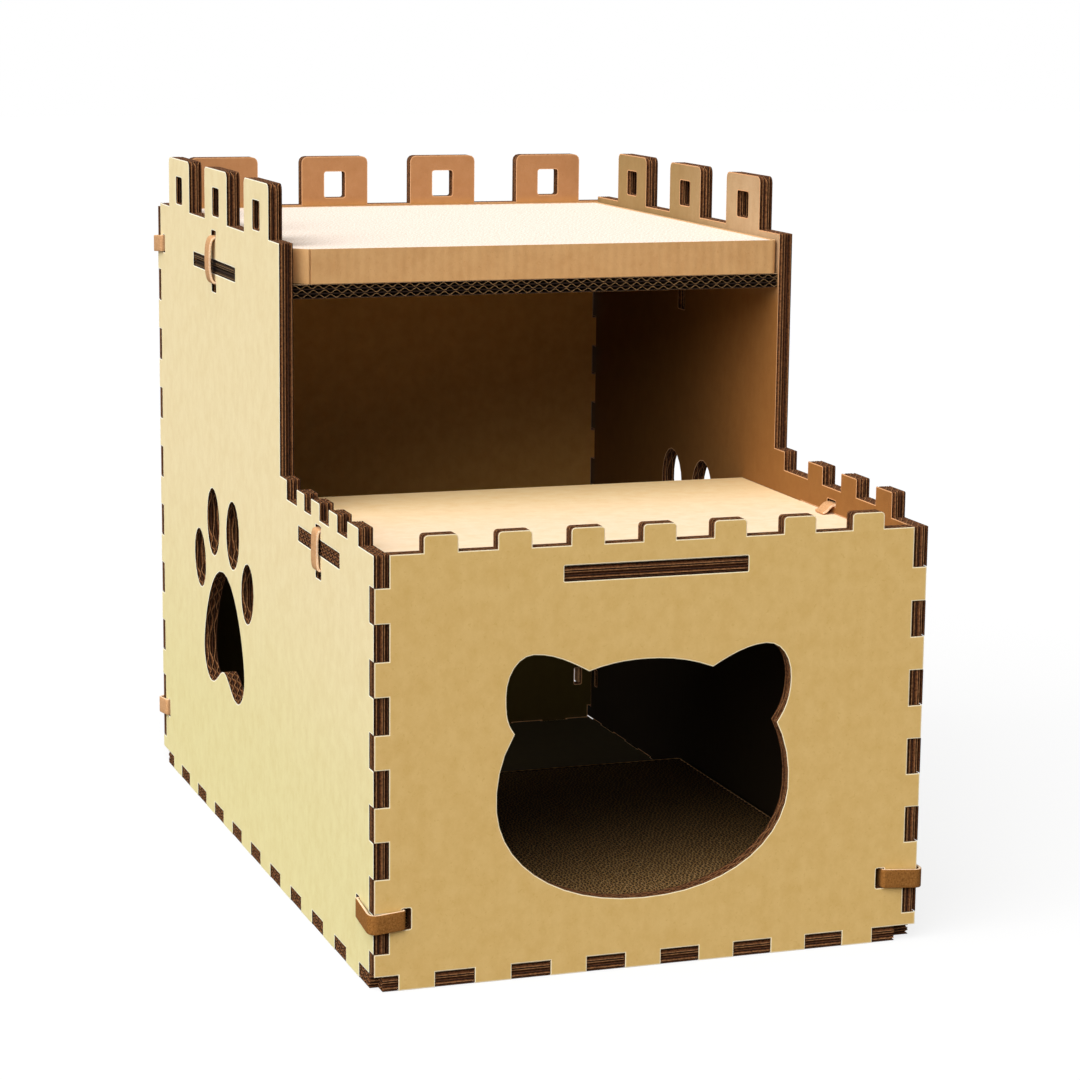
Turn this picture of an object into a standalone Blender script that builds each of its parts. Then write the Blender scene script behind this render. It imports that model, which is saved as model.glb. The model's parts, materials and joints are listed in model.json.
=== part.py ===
"""Cat scratcher house: a flat-pack castle of laser-cut corrugated board.

Four walls, a floor, a deck and an upper shelf lock together with fingers and tabs, and short bands laced
through slots tie them. Two scratcher pads lie loose in it, one on the upper shelf and one on the floor.
Lengths are in metres. All the outlines are drawn from the front left corner of the house: x to the right,
y to the rear and z up. An empty carries every piece, so that the finished house stands with the middle of
its footprint on the origin.
"""

from math import cos, pi, radians, sin, tan

import bmesh
import bpy
from mathutils import Vector
from mathutils.geometry import interpolate_bezier

# Overall sizes, over the boards
WIDTH = 0.4050
DEPTH = 0.6620
TALL_TOP = 0.4860
LOW_TOP = 0.3015
TALL_FRONT = 0.2480
BACK_DROP = 0.0035
LEDGE_LENGTH = 0.0196
LEDGE_HEIGHT = 0.0143

# The board, the gap between pieces that touch, and how far a tab's end lies behind the face it passes through
BOARD = 0.0106
GAP = 0.0003
TAB_INSET = 0.0005

# Fingers along the upright corners
FINGER_PITCH = 0.0500
FINGER_WIDTH = 0.0252
LEFT_FINGER_START = 0.0295
RIGHT_FINGER_START = 0.0230
FOOT_FINGER_DROP = 0.0025
REAR_FINGER_START = 0.0989
REAR_FINGER_PITCH = 0.0508
REAR_FINGER_WIDTH = 0.0257
REAR_FOOT_START = 0.0220
REAR_FOOT_END = 0.0760
REAR_NOTCH_PLAY = 0.0025

# Tabs of the floor, as centres along each wall, and the longer notches at the corners
FRONT_TAB_FIRST = 0.0579
FRONT_TAB_PITCH = 0.0550
FRONT_TAB_WIDTH = 0.0285
FRONT_CORNER_LEFT = 0.0177
FRONT_CORNER_RIGHT = 0.0341
SIDE_TAB_FIRST = 0.0842
SIDE_TAB_PITCH = 0.0614
SIDE_TAB_WIDTH = 0.0303
SIDE_CORNER_FRONT = 0.0357
SIDE_CORNER_REAR = 0.0403
FLOOR_CORNER_CUT = 0.0066
FLOOR_CORNER_CUT_RIGHT = 0.0165
FLOOR_CORNER_CUT_REAR = 0.0174

# Battlements
FRONT_MERLON_FIRST = 0.0466
FRONT_MERLON_PITCH = 0.0520
FRONT_MERLON_WIDTH = 0.0243
FRONT_MERLON_HEIGHT = 0.0120
FRONT_MERLON_ROUND = 0.0026
SIDE_MERLON_ROUND = 0.0012
TALL_MERLON_HEIGHT = 0.0410
TALL_MERLON_ROUND = 0.0050
BACK_MERLON_FIRST = 0.0556
BACK_MERLON_PITCH = 0.0972
BACK_MERLON_WIDTH = 0.0587
LEFT_TALL_FIRST = 0.0685
LEFT_TALL_PITCH = 0.1308
LEFT_TALL_WIDTH = 0.0755
RIGHT_TALL_FIRST = 0.0740
RIGHT_TALL_PITCH = 0.1223
RIGHT_TALL_WIDTH = 0.0676
LEFT_LOW_CENTRES = (0.0514, 0.1016, 0.1487, 0.1893)
LEFT_LOW_WIDTHS = (0.0273, 0.0220, 0.0228, 0.0210)
LEFT_LOW_HEIGHT = 0.0120
RIGHT_LOW_FIRST = 0.0516
RIGHT_LOW_PITCH = 0.0597
RIGHT_LOW_WIDTH = 0.0270
RIGHT_LOW_HEIGHT = 0.0137
RIGHT_LOW_RISE = 0.0047
WINDOW_ROUND = 0.0020
SIDE_WINDOW_WIDTH = 0.0222
WINDOW_HEIGHT = 0.0224
LEFT_WINDOW_RISE = 0.0040
RIGHT_WINDOW_HEIGHT = 0.0205
RIGHT_WINDOW_RISE = 0.0072
BACK_WINDOW_WIDTH = 0.0185
BACK_WINDOW_RISE = 0.0057

# Deck over the lower room, its underside as far below the low walls' top
DECK_DROP = 0.0245
DECK_HEIGHT = LOW_TOP - DECK_DROP
DECK_BACK = 0.3100
DECK_FRONT_TAB_CENTRE = 0.2010
DECK_FRONT_TAB_LENGTH = 0.1341
DECK_SIDE_TAB_CENTRE = 0.1405
DECK_SIDE_TAB_LENGTH = 0.1110

# Upper shelf, its underside as far below the tall walls' top and its edge as far behind their front
SHELF_DROP = 0.0410
SHELF_HEIGHT = TALL_TOP - SHELF_DROP
SHELF_SETBACK = 0.0020
SHELF_FRONT = TALL_FRONT + SHELF_SETBACK
SHELF_TAB_FROM_REAR = 0.2070
SHELF_TAB_CENTRE = DEPTH - SHELF_TAB_FROM_REAR
SHELF_TAB_LENGTH = 0.1420
SLOT_ROUND = 0.0008

# Doorway, a cat's head with two uneven ears
DOOR_CENTRE = 0.1946
DOOR_LEVEL = 0.1260
DOOR_HALF_WIDTH = 0.1078
DOOR_RISE = 0.0938
DOOR_DROP = 0.0760
DOOR_SQUARENESS = 2.12
RIGHT_EAR_INNER = 0.0490
RIGHT_EAR_OUTER = 0.0980
RIGHT_EAR_TOP = 0.0889
RIGHT_EAR_TOP_HEIGHT = 0.2253
RIGHT_EAR_SIDE = 0.1079
LEFT_EAR_INNER = 0.0420
LEFT_EAR_OUTER = 0.0951
LEFT_EAR_TOP = 0.0819
LEFT_EAR_TOP_HEIGHT = 0.2275
LEFT_EAR_SIDE = 0.1015
EAR_SIDE_HEIGHT = 0.1995
# How far the ear's curve follows its direction at each point, as shares of its width or as lengths
EAR_INNER_LEAN = (0.30, 0.17)
EAR_TOP_LEAN = 0.35
EAR_TOP_REACH = 0.0115
EAR_SIDE_REACH_UP = 0.0150
EAR_SIDE_REACH_DOWN = 0.0150
EAR_FOOT_LEAN = (0.0050, 0.0070)
CHEEK_START = 0.30

# Paw print in each side, the right one a little higher and further forward
PAW_CENTRE = 0.4315
RIGHT_PAW_RISE = 0.0165
RIGHT_PAW_SHIFT = -0.0035
PAD_TOP = 0.2088
PAD_HALF_WIDTH = 0.0685
PAD_WIDEST = 0.1360
PAD_LOBE = 0.0430
PAD_LOBE_HEIGHT = 0.1114
PAD_DENT_HEIGHT = 0.1272
# How far the pad's curve follows its direction at each point, as shares of its half width, height or drop
PAD_TOP_LEAN = 0.62
PAD_SIDE_LEAN_UP = 0.28
PAD_SIDE_LEAN_DOWN = 0.56
PAD_LOBE_LEAN_OUT = 0.52
PAD_LOBE_LEAN_IN = 0.40
PAD_DENT_LEAN = 0.32
OUTER_TOE_TILT = radians(15)
INNER_TOE_TILT = radians(5)
OUTER_TOE_OFFSET = 0.0803
OUTER_TOE_HEIGHT = 0.2066
OUTER_TOE_HALF_WIDTH = 0.0195
OUTER_TOE_HALF_LENGTH = 0.0242
INNER_TOE_OFFSET = 0.0330
INNER_TOE_HEIGHT = 0.2442
INNER_TOE_HALF_WIDTH = 0.0214
INNER_TOE_HALF_LENGTH = 0.0273

# Bands: the strip itself, its slots in the boards, and how far it stands off them
BAND_WIDTH = 0.0136
BAND_THICKNESS = 0.0022
BAND_SIDE_PLAY = 0.0007
BAND_DEPTH = 0.0082
CORNER_SLOT_PLAY = 0.0040
SIDE_SLOT_PLAY = 0.0060
CORNER_BULGE = 0.0033
CORNER_ROUND = 0.0058
MOUTH_BULGE = 0.0016
MOUTH_ROUND = 0.0015
BAND_SLOT_ROUND = 0.0012
FRONT_SLOT_LEFT = 0.0198
FRONT_SLOT_RIGHT = 0.0258
SIDE_SLOT_FRONT = 0.0345
SIDE_SLOT_REAR = 0.0206
BACK_SLOT = 0.0200
FRONT_LEFT_BAND_HEIGHT = 0.0503
FRONT_RIGHT_BAND_HEIGHT = 0.0475
REAR_LOW_BAND_HEIGHT = 0.0503
REAR_HIGH_BAND_DROP = 0.0332
REAR_HIGH_BAND_HEIGHT = TALL_TOP - REAR_HIGH_BAND_DROP
DECK_TIE_RISE = 0.0068
DECK_TIE_DROP = 0.0108
DECK_TIE_BULGE = 0.0026
DECK_TIE_PLAY_UP = 0.0019
DECK_TIE_PLAY_DOWN = 0.0056
DECK_TIE_FLAP = 0.0100
SHELF_TIE_RISE = 0.0177
SHELF_TIE_DROP = 0.0072
SHELF_TIE_DROP_RIGHT = 0.0210
SHELF_TIE_BULGE = 0.0048
SHELF_TIE_PLAY_UP = 0.0041
SHELF_TIE_PLAY_DOWN = 0.0064
SHELF_TIE_PLAY_DOWN_RIGHT = 0.0150
SHELF_TIE_SHIFT_RIGHT = -0.0080
TIE_CREST_LEAN = 0.30
TIE_MOUTH_LEAN = 0.5
TIE_MOUTH_REACH = 0.0010
FLAP_END_LEAN = 0.45
FLAP_BEND_LEAN = 0.40

# Scratcher pads: a core of board strips on edge, wrapped in single-faced board
PAD_HEIGHT = 0.0254
PAD_SIDE_PLAY = 0.0012
WRAP = 0.0024
PAD_ROUND = 0.0040
PAD_FRONT_ROUND = 0.0120
PAD_LEAST_ROUND = 0.0004
LOWER_PAD_HEIGHT = 0.0220
LOWER_PAD_SIDE_PLAY = 0.0080
LOWER_PAD_LENGTH = 0.4000
CORE_DROP = 0.0006

# Numbers of straight pieces that a curve is cut into
ROUND_STEPS = 3
TOE_STEPS = 20
HEAD_STEPS = 30
BEZIER_STEPS = 9
SHORT_BEZIER_STEPS = 6
CROWN_STEPS = 5
MOST_ROUND_SHARE = 0.49

# Finishes: a colour in linear light, and how dull it is
BOARD_ROUGHNESS = 0.85
STRAP_ROUGHNESS = 0.75
CORE_ROUGHNESS = 0.9
KRAFT_OUTER = ((0.70, 0.47, 0.20), BOARD_ROUGHNESS)
KRAFT_SIDE = ((0.84, 0.70, 0.40), BOARD_ROUGHNESS)
KRAFT_PALE = ((0.90, 0.76, 0.52), BOARD_ROUGHNESS)
KRAFT_INNER = ((0.52, 0.27, 0.10), BOARD_ROUGHNESS)
WRAP_KRAFT = ((0.62, 0.38, 0.15), BOARD_ROUGHNESS)
BAND_BROWN = ((0.44, 0.23, 0.09), STRAP_ROUGHNESS)
CORE_CREAM = ((0.86, 0.76, 0.60), CORE_ROUGHNESS)
CORE_BROWN = ((0.33, 0.21, 0.12), CORE_ROUGHNESS)


def clear_scene():
    """Remove every object of the scene."""
    for obj in list(bpy.data.objects):
        bpy.data.objects.remove(obj, do_unlink=True)


def collection(name):
    """Return a new collection linked to the scene."""
    made = bpy.data.collections.new(name)
    bpy.context.scene.collection.children.link(made)
    return made


def material(name, colour, roughness):
    """Return a Principled material of one colour."""
    made = bpy.data.materials.new(name)
    made.use_nodes = True
    shader = made.node_tree.nodes["Principled BSDF"]
    shader.inputs["Base Color"].default_value = (*colour, 1.0)
    shader.inputs["Roughness"].default_value = roughness
    shader.inputs["Metallic"].default_value = 0.0
    made.diffuse_color = (*colour, 1.0)
    return made


def spans(first, pitch, width, low, high):
    """Return the (start, end) pairs of an even pattern that lie between low and high. first is a centre."""
    found = []
    start = first - width / 2
    while start + width <= high:
        if start >= low:
            found.append((start, start + width))
        start += pitch
    return found


def fingers(first, pitch, width, top):
    """Return the spans of the fingers on an upright edge, the last one running out through the top."""
    found = []
    start = first
    while start + width / 2 < top:
        end = start + width
        found.append((start, top if top - end < width / 2 else end))
        start += pitch
    return found


def side_fingers(first):
    """Return the fingers of a side board's front edge, the lowest one reaching a little further down."""
    found = fingers(first, FINGER_PITCH, FINGER_WIDTH, LOW_TOP)
    return [(found[0][0] - FOOT_FINGER_DROP, found[0][1]), *found[1:]]


def grown(pairs, by):
    """Return spans made longer at both ends, or shorter with a negative value."""
    return [(start - by, end + by) for start, end in pairs]


def edge(base, raised, pairs, low, high):
    """Return one stepped edge: its first level, then (position, next level) for each step."""
    first = base
    steps = []
    for start, end in sorted(pairs):
        if start <= low:
            first = raised
        else:
            steps.append((start, raised))
        if end < high:
            steps.append((end, base))
    return [first, *steps]


def walk_back(line):
    """Return (position, level before the step) from the far end of an edge, and the level at that end."""
    levels = [line[0]] + [level for _, level in line[1:]]
    places = [place for place, _ in line[1:]]
    return levels[-1], list(zip(reversed(places), reversed(levels[:-1])))


def stepped(bottom, right, top, left):
    """Return the corners of a board whose four edges are stepped, in order round the board."""
    level = bottom[0]
    corners = [Vector((left[0], level))]
    for place, following in bottom[1:]:
        corners += [Vector((place, level)), Vector((place, following))]
        level = following
    across = right[0]
    corners.append(Vector((across, level)))
    for place, following in right[1:]:
        corners += [Vector((across, place)), Vector((following, place))]
        across = following
    level, steps = walk_back(top)
    corners.append(Vector((across, level)))
    for place, following in steps:
        corners += [Vector((place, level)), Vector((place, following))]
        level = following
    across, steps = walk_back(left)
    corners.append(Vector((across, level)))
    for place, following in steps:
        corners += [Vector((across, place)), Vector((following, place))]
        across = following
    return corners


def rounded(corners, radius_of, closed=True):
    """Round the corners of a path. radius_of gives each corner's radius, and 0 leaves it sharp."""
    points = []
    count = len(corners)
    for index, corner in enumerate(corners):
        inner = closed or 0 < index < count - 1
        radius = radius_of(index, corner) if inner else 0.0
        if radius <= 0:
            points.append(corner)
            continue
        before = (corners[index - 1] - corner).normalized()
        after = (corners[(index + 1) % count] - corner).normalized()
        opening = before.angle(after)
        sweep = pi - opening
        centre = corner + radius / sin(opening / 2) * (before + after).normalized()
        start = corner + radius / tan(opening / 2) * before - centre
        end = corner + radius / tan(opening / 2) * after - centre
        for step in range(ROUND_STEPS + 1):
            turned = sweep * step / ROUND_STEPS
            points.append(centre + (start * sin(sweep - turned) + end * sin(turned)) / sin(sweep))
    return points


def box_corners(low_x, high_x, low_y, high_y):
    """Return the four corners of a box, in order round it."""
    return [Vector(place) for place in ((low_x, low_y), (high_x, low_y), (high_x, high_y), (low_x, high_y))]


def box_hole(low_x, high_x, low_y, high_y, radius):
    """Return a four-sided hole with round corners."""
    corners = box_corners(low_x, high_x, low_y, high_y)
    radius = min(radius, MOST_ROUND_SHARE * (high_x - low_x), MOST_ROUND_SHARE * (high_y - low_y))
    return rounded(corners, lambda index, corner: radius)


def ellipse(centre_x, centre_y, half_width, half_length, tilt):
    """Return an ellipse, its long axis leaning by tilt from upright."""
    points = []
    for step in range(TOE_STEPS):
        angle = 2 * pi * step / TOE_STEPS
        across = half_width * cos(angle)
        along = half_length * sin(angle)
        points.append(
            Vector((
                centre_x + across * cos(tilt) + along * sin(tilt),
                centre_y - across * sin(tilt) + along * cos(tilt),
            ))
        )
    return points


def smooth(start, start_handle, end_handle, end, steps=BEZIER_STEPS):
    """Return the points of one Bezier segment without its last point."""
    places = [Vector((*place, 0.0)) for place in (start, start_handle, end_handle, end)]
    return [point.to_2d() for point in interpolate_bezier(*places, steps + 1)][:-1]


def head_edge(offset, upper):
    """Return the height of the head's outline at an offset from its middle."""
    share = min(abs(offset) / DOOR_HALF_WIDTH, 1.0) ** DOOR_SQUARENESS
    reach = (1 - share) ** (1 / DOOR_SQUARENESS)
    return DOOR_LEVEL + DOOR_RISE * reach if upper else DOOR_LEVEL - DOOR_DROP * reach


def half_head(ear_inner, ear_outer, ear_top, ear_top_height, ear_side):
    """Return half of the doorway's outline, from the crown over one ear to the chin."""
    half = []
    for step in range(CROWN_STEPS):
        offset = ear_inner * step / CROWN_STEPS
        half.append(Vector((offset, head_edge(offset, True))))
    inner = Vector((ear_inner, head_edge(ear_inner, True)))
    outer = Vector((ear_outer, head_edge(ear_outer, True)))
    top = Vector((ear_top, ear_top_height))
    side = Vector((ear_side, EAR_SIDE_HEIGHT))
    reach = ear_top - ear_inner
    inner_handle = inner + Vector(EAR_INNER_LEAN) * reach
    half += smooth(inner, inner_handle, top - Vector((EAR_TOP_LEAN * reach, 0)), top, SHORT_BEZIER_STEPS)
    side_handle = side + Vector((0, EAR_SIDE_REACH_UP))
    half += smooth(top, top + Vector((EAR_TOP_REACH, 0)), side_handle, side, SHORT_BEZIER_STEPS)
    side_handle = side - Vector((0, EAR_SIDE_REACH_DOWN))
    half += smooth(side, side_handle, outer + Vector(EAR_FOOT_LEAN), outer, SHORT_BEZIER_STEPS)
    start = pi / 2 * CHEEK_START
    for step in range(HEAD_STEPS // 2):
        angle = start - (start + pi / 2) * step / (HEAD_STEPS // 2)
        if step == 0:
            half.append(outer)
            continue
        offset = DOOR_HALF_WIDTH * abs(cos(angle)) ** (2 / DOOR_SQUARENESS)
        upper = angle > 0
        if upper and offset <= ear_outer:
            continue
        half.append(Vector((offset, head_edge(offset, upper))))
    half.append(Vector((0.0, head_edge(0.0, False))))
    return half


def doorway():
    """Return the outline of the cat-head doorway."""
    right = half_head(RIGHT_EAR_INNER, RIGHT_EAR_OUTER, RIGHT_EAR_TOP, RIGHT_EAR_TOP_HEIGHT, RIGHT_EAR_SIDE)
    left = half_head(LEFT_EAR_INNER, LEFT_EAR_OUTER, LEFT_EAR_TOP, LEFT_EAR_TOP_HEIGHT, LEFT_EAR_SIDE)
    left_half = [Vector((-point.x, point.y)) for point in reversed(left[1:-1])]
    return [Vector((DOOR_CENTRE + point.x, point.y)) for point in right + left_half]


def paw(on_right):
    """Return the outlines of a side's paw print: its pad and four toes."""
    top = Vector((0.0, PAD_TOP))
    side = Vector((PAD_HALF_WIDTH, PAD_WIDEST))
    lobe = Vector((PAD_LOBE, PAD_LOBE_HEIGHT))
    dent = Vector((0.0, PAD_DENT_HEIGHT))
    drop = PAD_WIDEST - PAD_LOBE_HEIGHT
    rise = PAD_TOP - PAD_WIDEST
    top_handle = top + Vector((PAD_TOP_LEAN * PAD_HALF_WIDTH, 0))
    half = smooth(top, top_handle, side + Vector((0, PAD_SIDE_LEAN_UP * rise)), side)
    side_handle = side - Vector((0, PAD_SIDE_LEAN_DOWN * drop))
    half += smooth(side, side_handle, lobe + Vector((PAD_LOBE_LEAN_OUT * drop, 0)), lobe, SHORT_BEZIER_STEPS)
    lobe_handle = lobe - Vector((PAD_LOBE_LEAN_IN * PAD_LOBE, 0))
    half += smooth(lobe, lobe_handle, dent + Vector((PAD_DENT_LEAN * PAD_LOBE, 0)), dent, SHORT_BEZIER_STEPS)
    half.append(dent)
    outlines = [half + [Vector((-point.x, point.y)) for point in reversed(half[1:-1])]]
    for side_sign in (1, -1):
        outlines.append(
            ellipse(
                side_sign * OUTER_TOE_OFFSET, OUTER_TOE_HEIGHT, OUTER_TOE_HALF_WIDTH, OUTER_TOE_HALF_LENGTH,
                side_sign * OUTER_TOE_TILT,
            )
        )
        outlines.append(
            ellipse(
                side_sign * INNER_TOE_OFFSET, INNER_TOE_HEIGHT, INNER_TOE_HALF_WIDTH, INNER_TOE_HALF_LENGTH,
                side_sign * INNER_TOE_TILT,
            )
        )
    place = Vector((PAW_CENTRE, 0.0))
    if on_right:
        place += Vector((RIGHT_PAW_SHIFT, RIGHT_PAW_RISE))
    return [[point + place for point in outline] for outline in outlines]


def ribbon(path, thickness):
    """Return the outline of a strip that follows a path."""
    left = []
    right = []
    for index, point in enumerate(path):
        before = path[max(index - 1, 0)]
        after = path[min(index + 1, len(path) - 1)]
        along = (after - before).normalized()
        normal = Vector((-along.y, along.x)) * thickness / 2
        left.append(point + normal)
        right.append(point - normal)
    return left + right[::-1]


def plate(name, outline, holes, thickness, plane, place, finish, house):
    """Cut one flat piece: a filled 2D curve, extruded to its thickness and turned into a mesh.

    plane is "flat", "front" (outline x to the right, y up) or "side" (outline x to the rear, y up), and place
    is the middle of the thickness. house is the empty that carries the piece, and the collection for it.
    """
    root, parts = house
    turns = {"flat": (0, 0, 0), "front": (radians(90), 0, 0), "side": (radians(90), 0, radians(90))}
    curve = bpy.data.curves.new(name + "_outline", "CURVE")
    curve.dimensions = "2D"
    curve.fill_mode = "BOTH"
    curve.extrude = thickness / 2
    for points in [outline, *holes]:
        spline = curve.splines.new("POLY")
        spline.points.add(len(points) - 1)
        for target, point in zip(spline.points, points):
            target.co = (point.x, point.y, 0.0, 1.0)
        spline.use_cyclic_u = True
    guide = bpy.data.objects.new(name + "_guide", curve)
    guide.rotation_euler = turns[plane]
    guide.location = place
    parts.objects.link(guide)
    bpy.context.view_layer.update()
    graph = bpy.context.evaluated_depsgraph_get()
    mesh = bpy.data.meshes.new_from_object(guide.evaluated_get(graph))
    mesh.name = name
    shape = bmesh.new()
    shape.from_mesh(mesh)
    bmesh.ops.remove_doubles(shape, verts=shape.verts, dist=1e-6)
    bmesh.ops.recalc_face_normals(shape, faces=shape.faces)
    shape.to_mesh(mesh)
    shape.free()
    piece = bpy.data.objects.new(name, mesh)
    piece.matrix_world = guide.matrix_world
    bpy.data.objects.remove(guide, do_unlink=True)
    bpy.data.curves.remove(curve)
    mesh.materials.clear()
    mesh.materials.append(material(name, *finish))
    parts.objects.link(piece)
    piece.parent = root
    return piece


def at_level(radii):
    """Return a function that rounds the corners lying on the named levels."""
    wanted = {round(level, 6): radius for level, radius in radii.items()}
    return lambda index, corner: wanted.get(round(corner.y, 6), 0.0)


def floor_spans_front():
    """Return the floor's tabs along the front and the back: the two corner ones and those between."""
    low = FRONT_CORNER_LEFT + BOARD
    high = WIDTH - FRONT_CORNER_RIGHT - BOARD
    return spans(FRONT_TAB_FIRST, FRONT_TAB_PITCH, FRONT_TAB_WIDTH, low, high)


def floor_spans_side():
    """Return the floor's tabs along a side, without the corner ones."""
    low = SIDE_CORNER_FRONT + BOARD
    high = DEPTH - SIDE_CORNER_REAR - BOARD
    return spans(SIDE_TAB_FIRST, SIDE_TAB_PITCH, SIDE_TAB_WIDTH, low, high)


def rear_fingers():
    """Return the fingers of the back board on either edge: a long foot and an even row above it."""
    foot = (REAR_FOOT_START, REAR_FOOT_END)
    return [foot] + fingers(REAR_FINGER_START, REAR_FINGER_PITCH, REAR_FINGER_WIDTH, TALL_TOP)


def cross_bottom():
    """Return the lower edge of the front and the back board, notched for the floor's tabs."""
    notches = [(0.0, FRONT_CORNER_LEFT), *floor_spans_front(), (WIDTH - FRONT_CORNER_RIGHT, WIDTH)]
    return edge(0.0, BOARD + GAP, notches, 0.0, WIDTH)


def band_slot(edge_distance, height, mirrored_span=None, play=CORNER_SLOT_PLAY):
    """Return a corner band's slot in a board whose corner lies at 0, or at the far end of mirrored_span."""
    near = edge_distance
    far = edge_distance + BAND_THICKNESS + 2 * GAP + play
    half = BAND_WIDTH / 2 + BAND_SIDE_PLAY
    low, high = (near, far) if mirrored_span is None else (mirrored_span - far, mirrored_span - near)
    return box_hole(low, high, height - half, height + half, BAND_SLOT_ROUND)


def windows(merlons, width, sill, height):
    """Return a window in the middle of each merlon."""
    return [
        box_hole((start + end - width) / 2, (start + end + width) / 2, sill, sill + height, WINDOW_ROUND)
        for start, end in merlons
    ]


def front_board():
    """Return the outline and holes of the front board."""
    inner = BOARD + GAP
    left_notches = grown(side_fingers(LEFT_FINGER_START), GAP)
    right_notches = grown(side_fingers(RIGHT_FINGER_START), GAP)
    crown = LOW_TOP + FRONT_MERLON_HEIGHT
    merlons = spans(FRONT_MERLON_FIRST, FRONT_MERLON_PITCH, FRONT_MERLON_WIDTH, 2 * inner, WIDTH - 2 * inner)
    corners = stepped(
        cross_bottom(),
        edge(WIDTH - TAB_INSET, WIDTH - inner, right_notches, 0.0, LOW_TOP),
        edge(LOW_TOP, crown, merlons, 0.0, WIDTH),
        edge(TAB_INSET, inner, left_notches, 0.0, LOW_TOP),
    )
    outline = rounded(corners, at_level({crown: FRONT_MERLON_ROUND}))
    half = DECK_FRONT_TAB_LENGTH / 2 + GAP
    holes = [
        doorway(),
        box_hole(
            DECK_FRONT_TAB_CENTRE - half, DECK_FRONT_TAB_CENTRE + half, DECK_HEIGHT - GAP,
            DECK_HEIGHT + BOARD + GAP, SLOT_ROUND,
        ),
        band_slot(FRONT_SLOT_LEFT, FRONT_LEFT_BAND_HEIGHT),
        band_slot(FRONT_SLOT_RIGHT, FRONT_RIGHT_BAND_HEIGHT, WIDTH),
    ]
    return outline, holes


def back_board():
    """Return the outline and holes of the back board."""
    notched = BOARD + GAP + REAR_NOTCH_PLAY
    tabs = rear_fingers()
    top = TALL_TOP - BACK_DROP
    crown = top + TALL_MERLON_HEIGHT
    merlons = spans(BACK_MERLON_FIRST, BACK_MERLON_PITCH, BACK_MERLON_WIDTH, 2 * BOARD, WIDTH - 2 * BOARD)
    corners = stepped(
        cross_bottom(),
        edge(WIDTH - notched, WIDTH - TAB_INSET, tabs, 0.0, top),
        edge(top, crown, merlons, 0.0, WIDTH),
        edge(notched, TAB_INSET, tabs, 0.0, top),
    )
    outline = rounded(corners, at_level({crown: TALL_MERLON_ROUND}))
    holes = windows(merlons, BACK_WINDOW_WIDTH, top + BACK_WINDOW_RISE, WINDOW_HEIGHT)
    for height in (REAR_LOW_BAND_HEIGHT, REAR_HIGH_BAND_HEIGHT):
        holes.append(band_slot(BACK_SLOT, height))
        holes.append(band_slot(BACK_SLOT, height, WIDTH))
    return outline, holes


def tie_heights(board_height, rise, drop):
    """Return the heights at which a tie goes in above and below its shelf."""
    return board_height + BOARD + rise, board_height - drop


def shelf_tie_setting(on_right):
    """Return how far below the shelf its tie goes in, its place along the wall and its lower slot's play."""
    if on_right:
        return SHELF_TIE_DROP_RIGHT, SHELF_TAB_CENTRE + SHELF_TIE_SHIFT_RIGHT, SHELF_TIE_PLAY_DOWN_RIGHT
    return SHELF_TIE_DROP, SHELF_TAB_CENTRE, SHELF_TIE_PLAY_DOWN


def tie_slots(centre, upper, lower, play_up, play_down):
    """Return the two slots of a tie. The tie bears on the edge nearer its shelf."""
    half_width = BAND_WIDTH / 2 + BAND_SIDE_PLAY
    half = BAND_THICKNESS / 2 + GAP
    low, high = centre - half_width, centre + half_width
    return [
        box_hole(low, high, upper - half, upper + half + play_up, BAND_SLOT_ROUND),
        box_hole(low, high, lower - half - play_down, lower + half, BAND_SLOT_ROUND),
    ]


def low_merlons(on_right):
    """Return the merlons of a side board's low part."""
    if on_right:
        high = TALL_FRONT - LEDGE_LENGTH - BOARD
        return spans(RIGHT_LOW_FIRST, RIGHT_LOW_PITCH, RIGHT_LOW_WIDTH, BOARD + GAP, high)
    return [
        (centre - width / 2, centre + width / 2) for centre, width in zip(LEFT_LOW_CENTRES, LEFT_LOW_WIDTHS)
    ]


def tall_merlons(on_right):
    """Return the merlons of a side board's tall part."""
    if on_right:
        first, pitch, width = RIGHT_TALL_FIRST, RIGHT_TALL_PITCH, RIGHT_TALL_WIDTH
    else:
        first, pitch, width = LEFT_TALL_FIRST, LEFT_TALL_PITCH, LEFT_TALL_WIDTH
    return spans(TALL_FRONT + first, pitch, width, TALL_FRONT + BOARD, DEPTH - 2 * BOARD)


def side_top(on_right):
    """Return the upper edge of a side board: low battlements, a ledge, then the tall battlements.

    On the right the low battlements stand a little higher, from the front of their first merlon.
    """
    rise = RIGHT_LOW_RISE if on_right else 0.0
    base = LOW_TOP + rise
    crown = base + (RIGHT_LOW_HEIGHT if on_right else LEFT_LOW_HEIGHT)
    top = edge(base, crown, low_merlons(on_right), 0.0, DEPTH)
    top[0] = LOW_TOP
    top += [(TALL_FRONT - LEDGE_LENGTH, LOW_TOP + rise + LEDGE_HEIGHT), (TALL_FRONT, TALL_TOP)]
    return top + edge(TALL_TOP, TALL_TOP + TALL_MERLON_HEIGHT, tall_merlons(on_right), 0.0, DEPTH)[1:], crown


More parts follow.
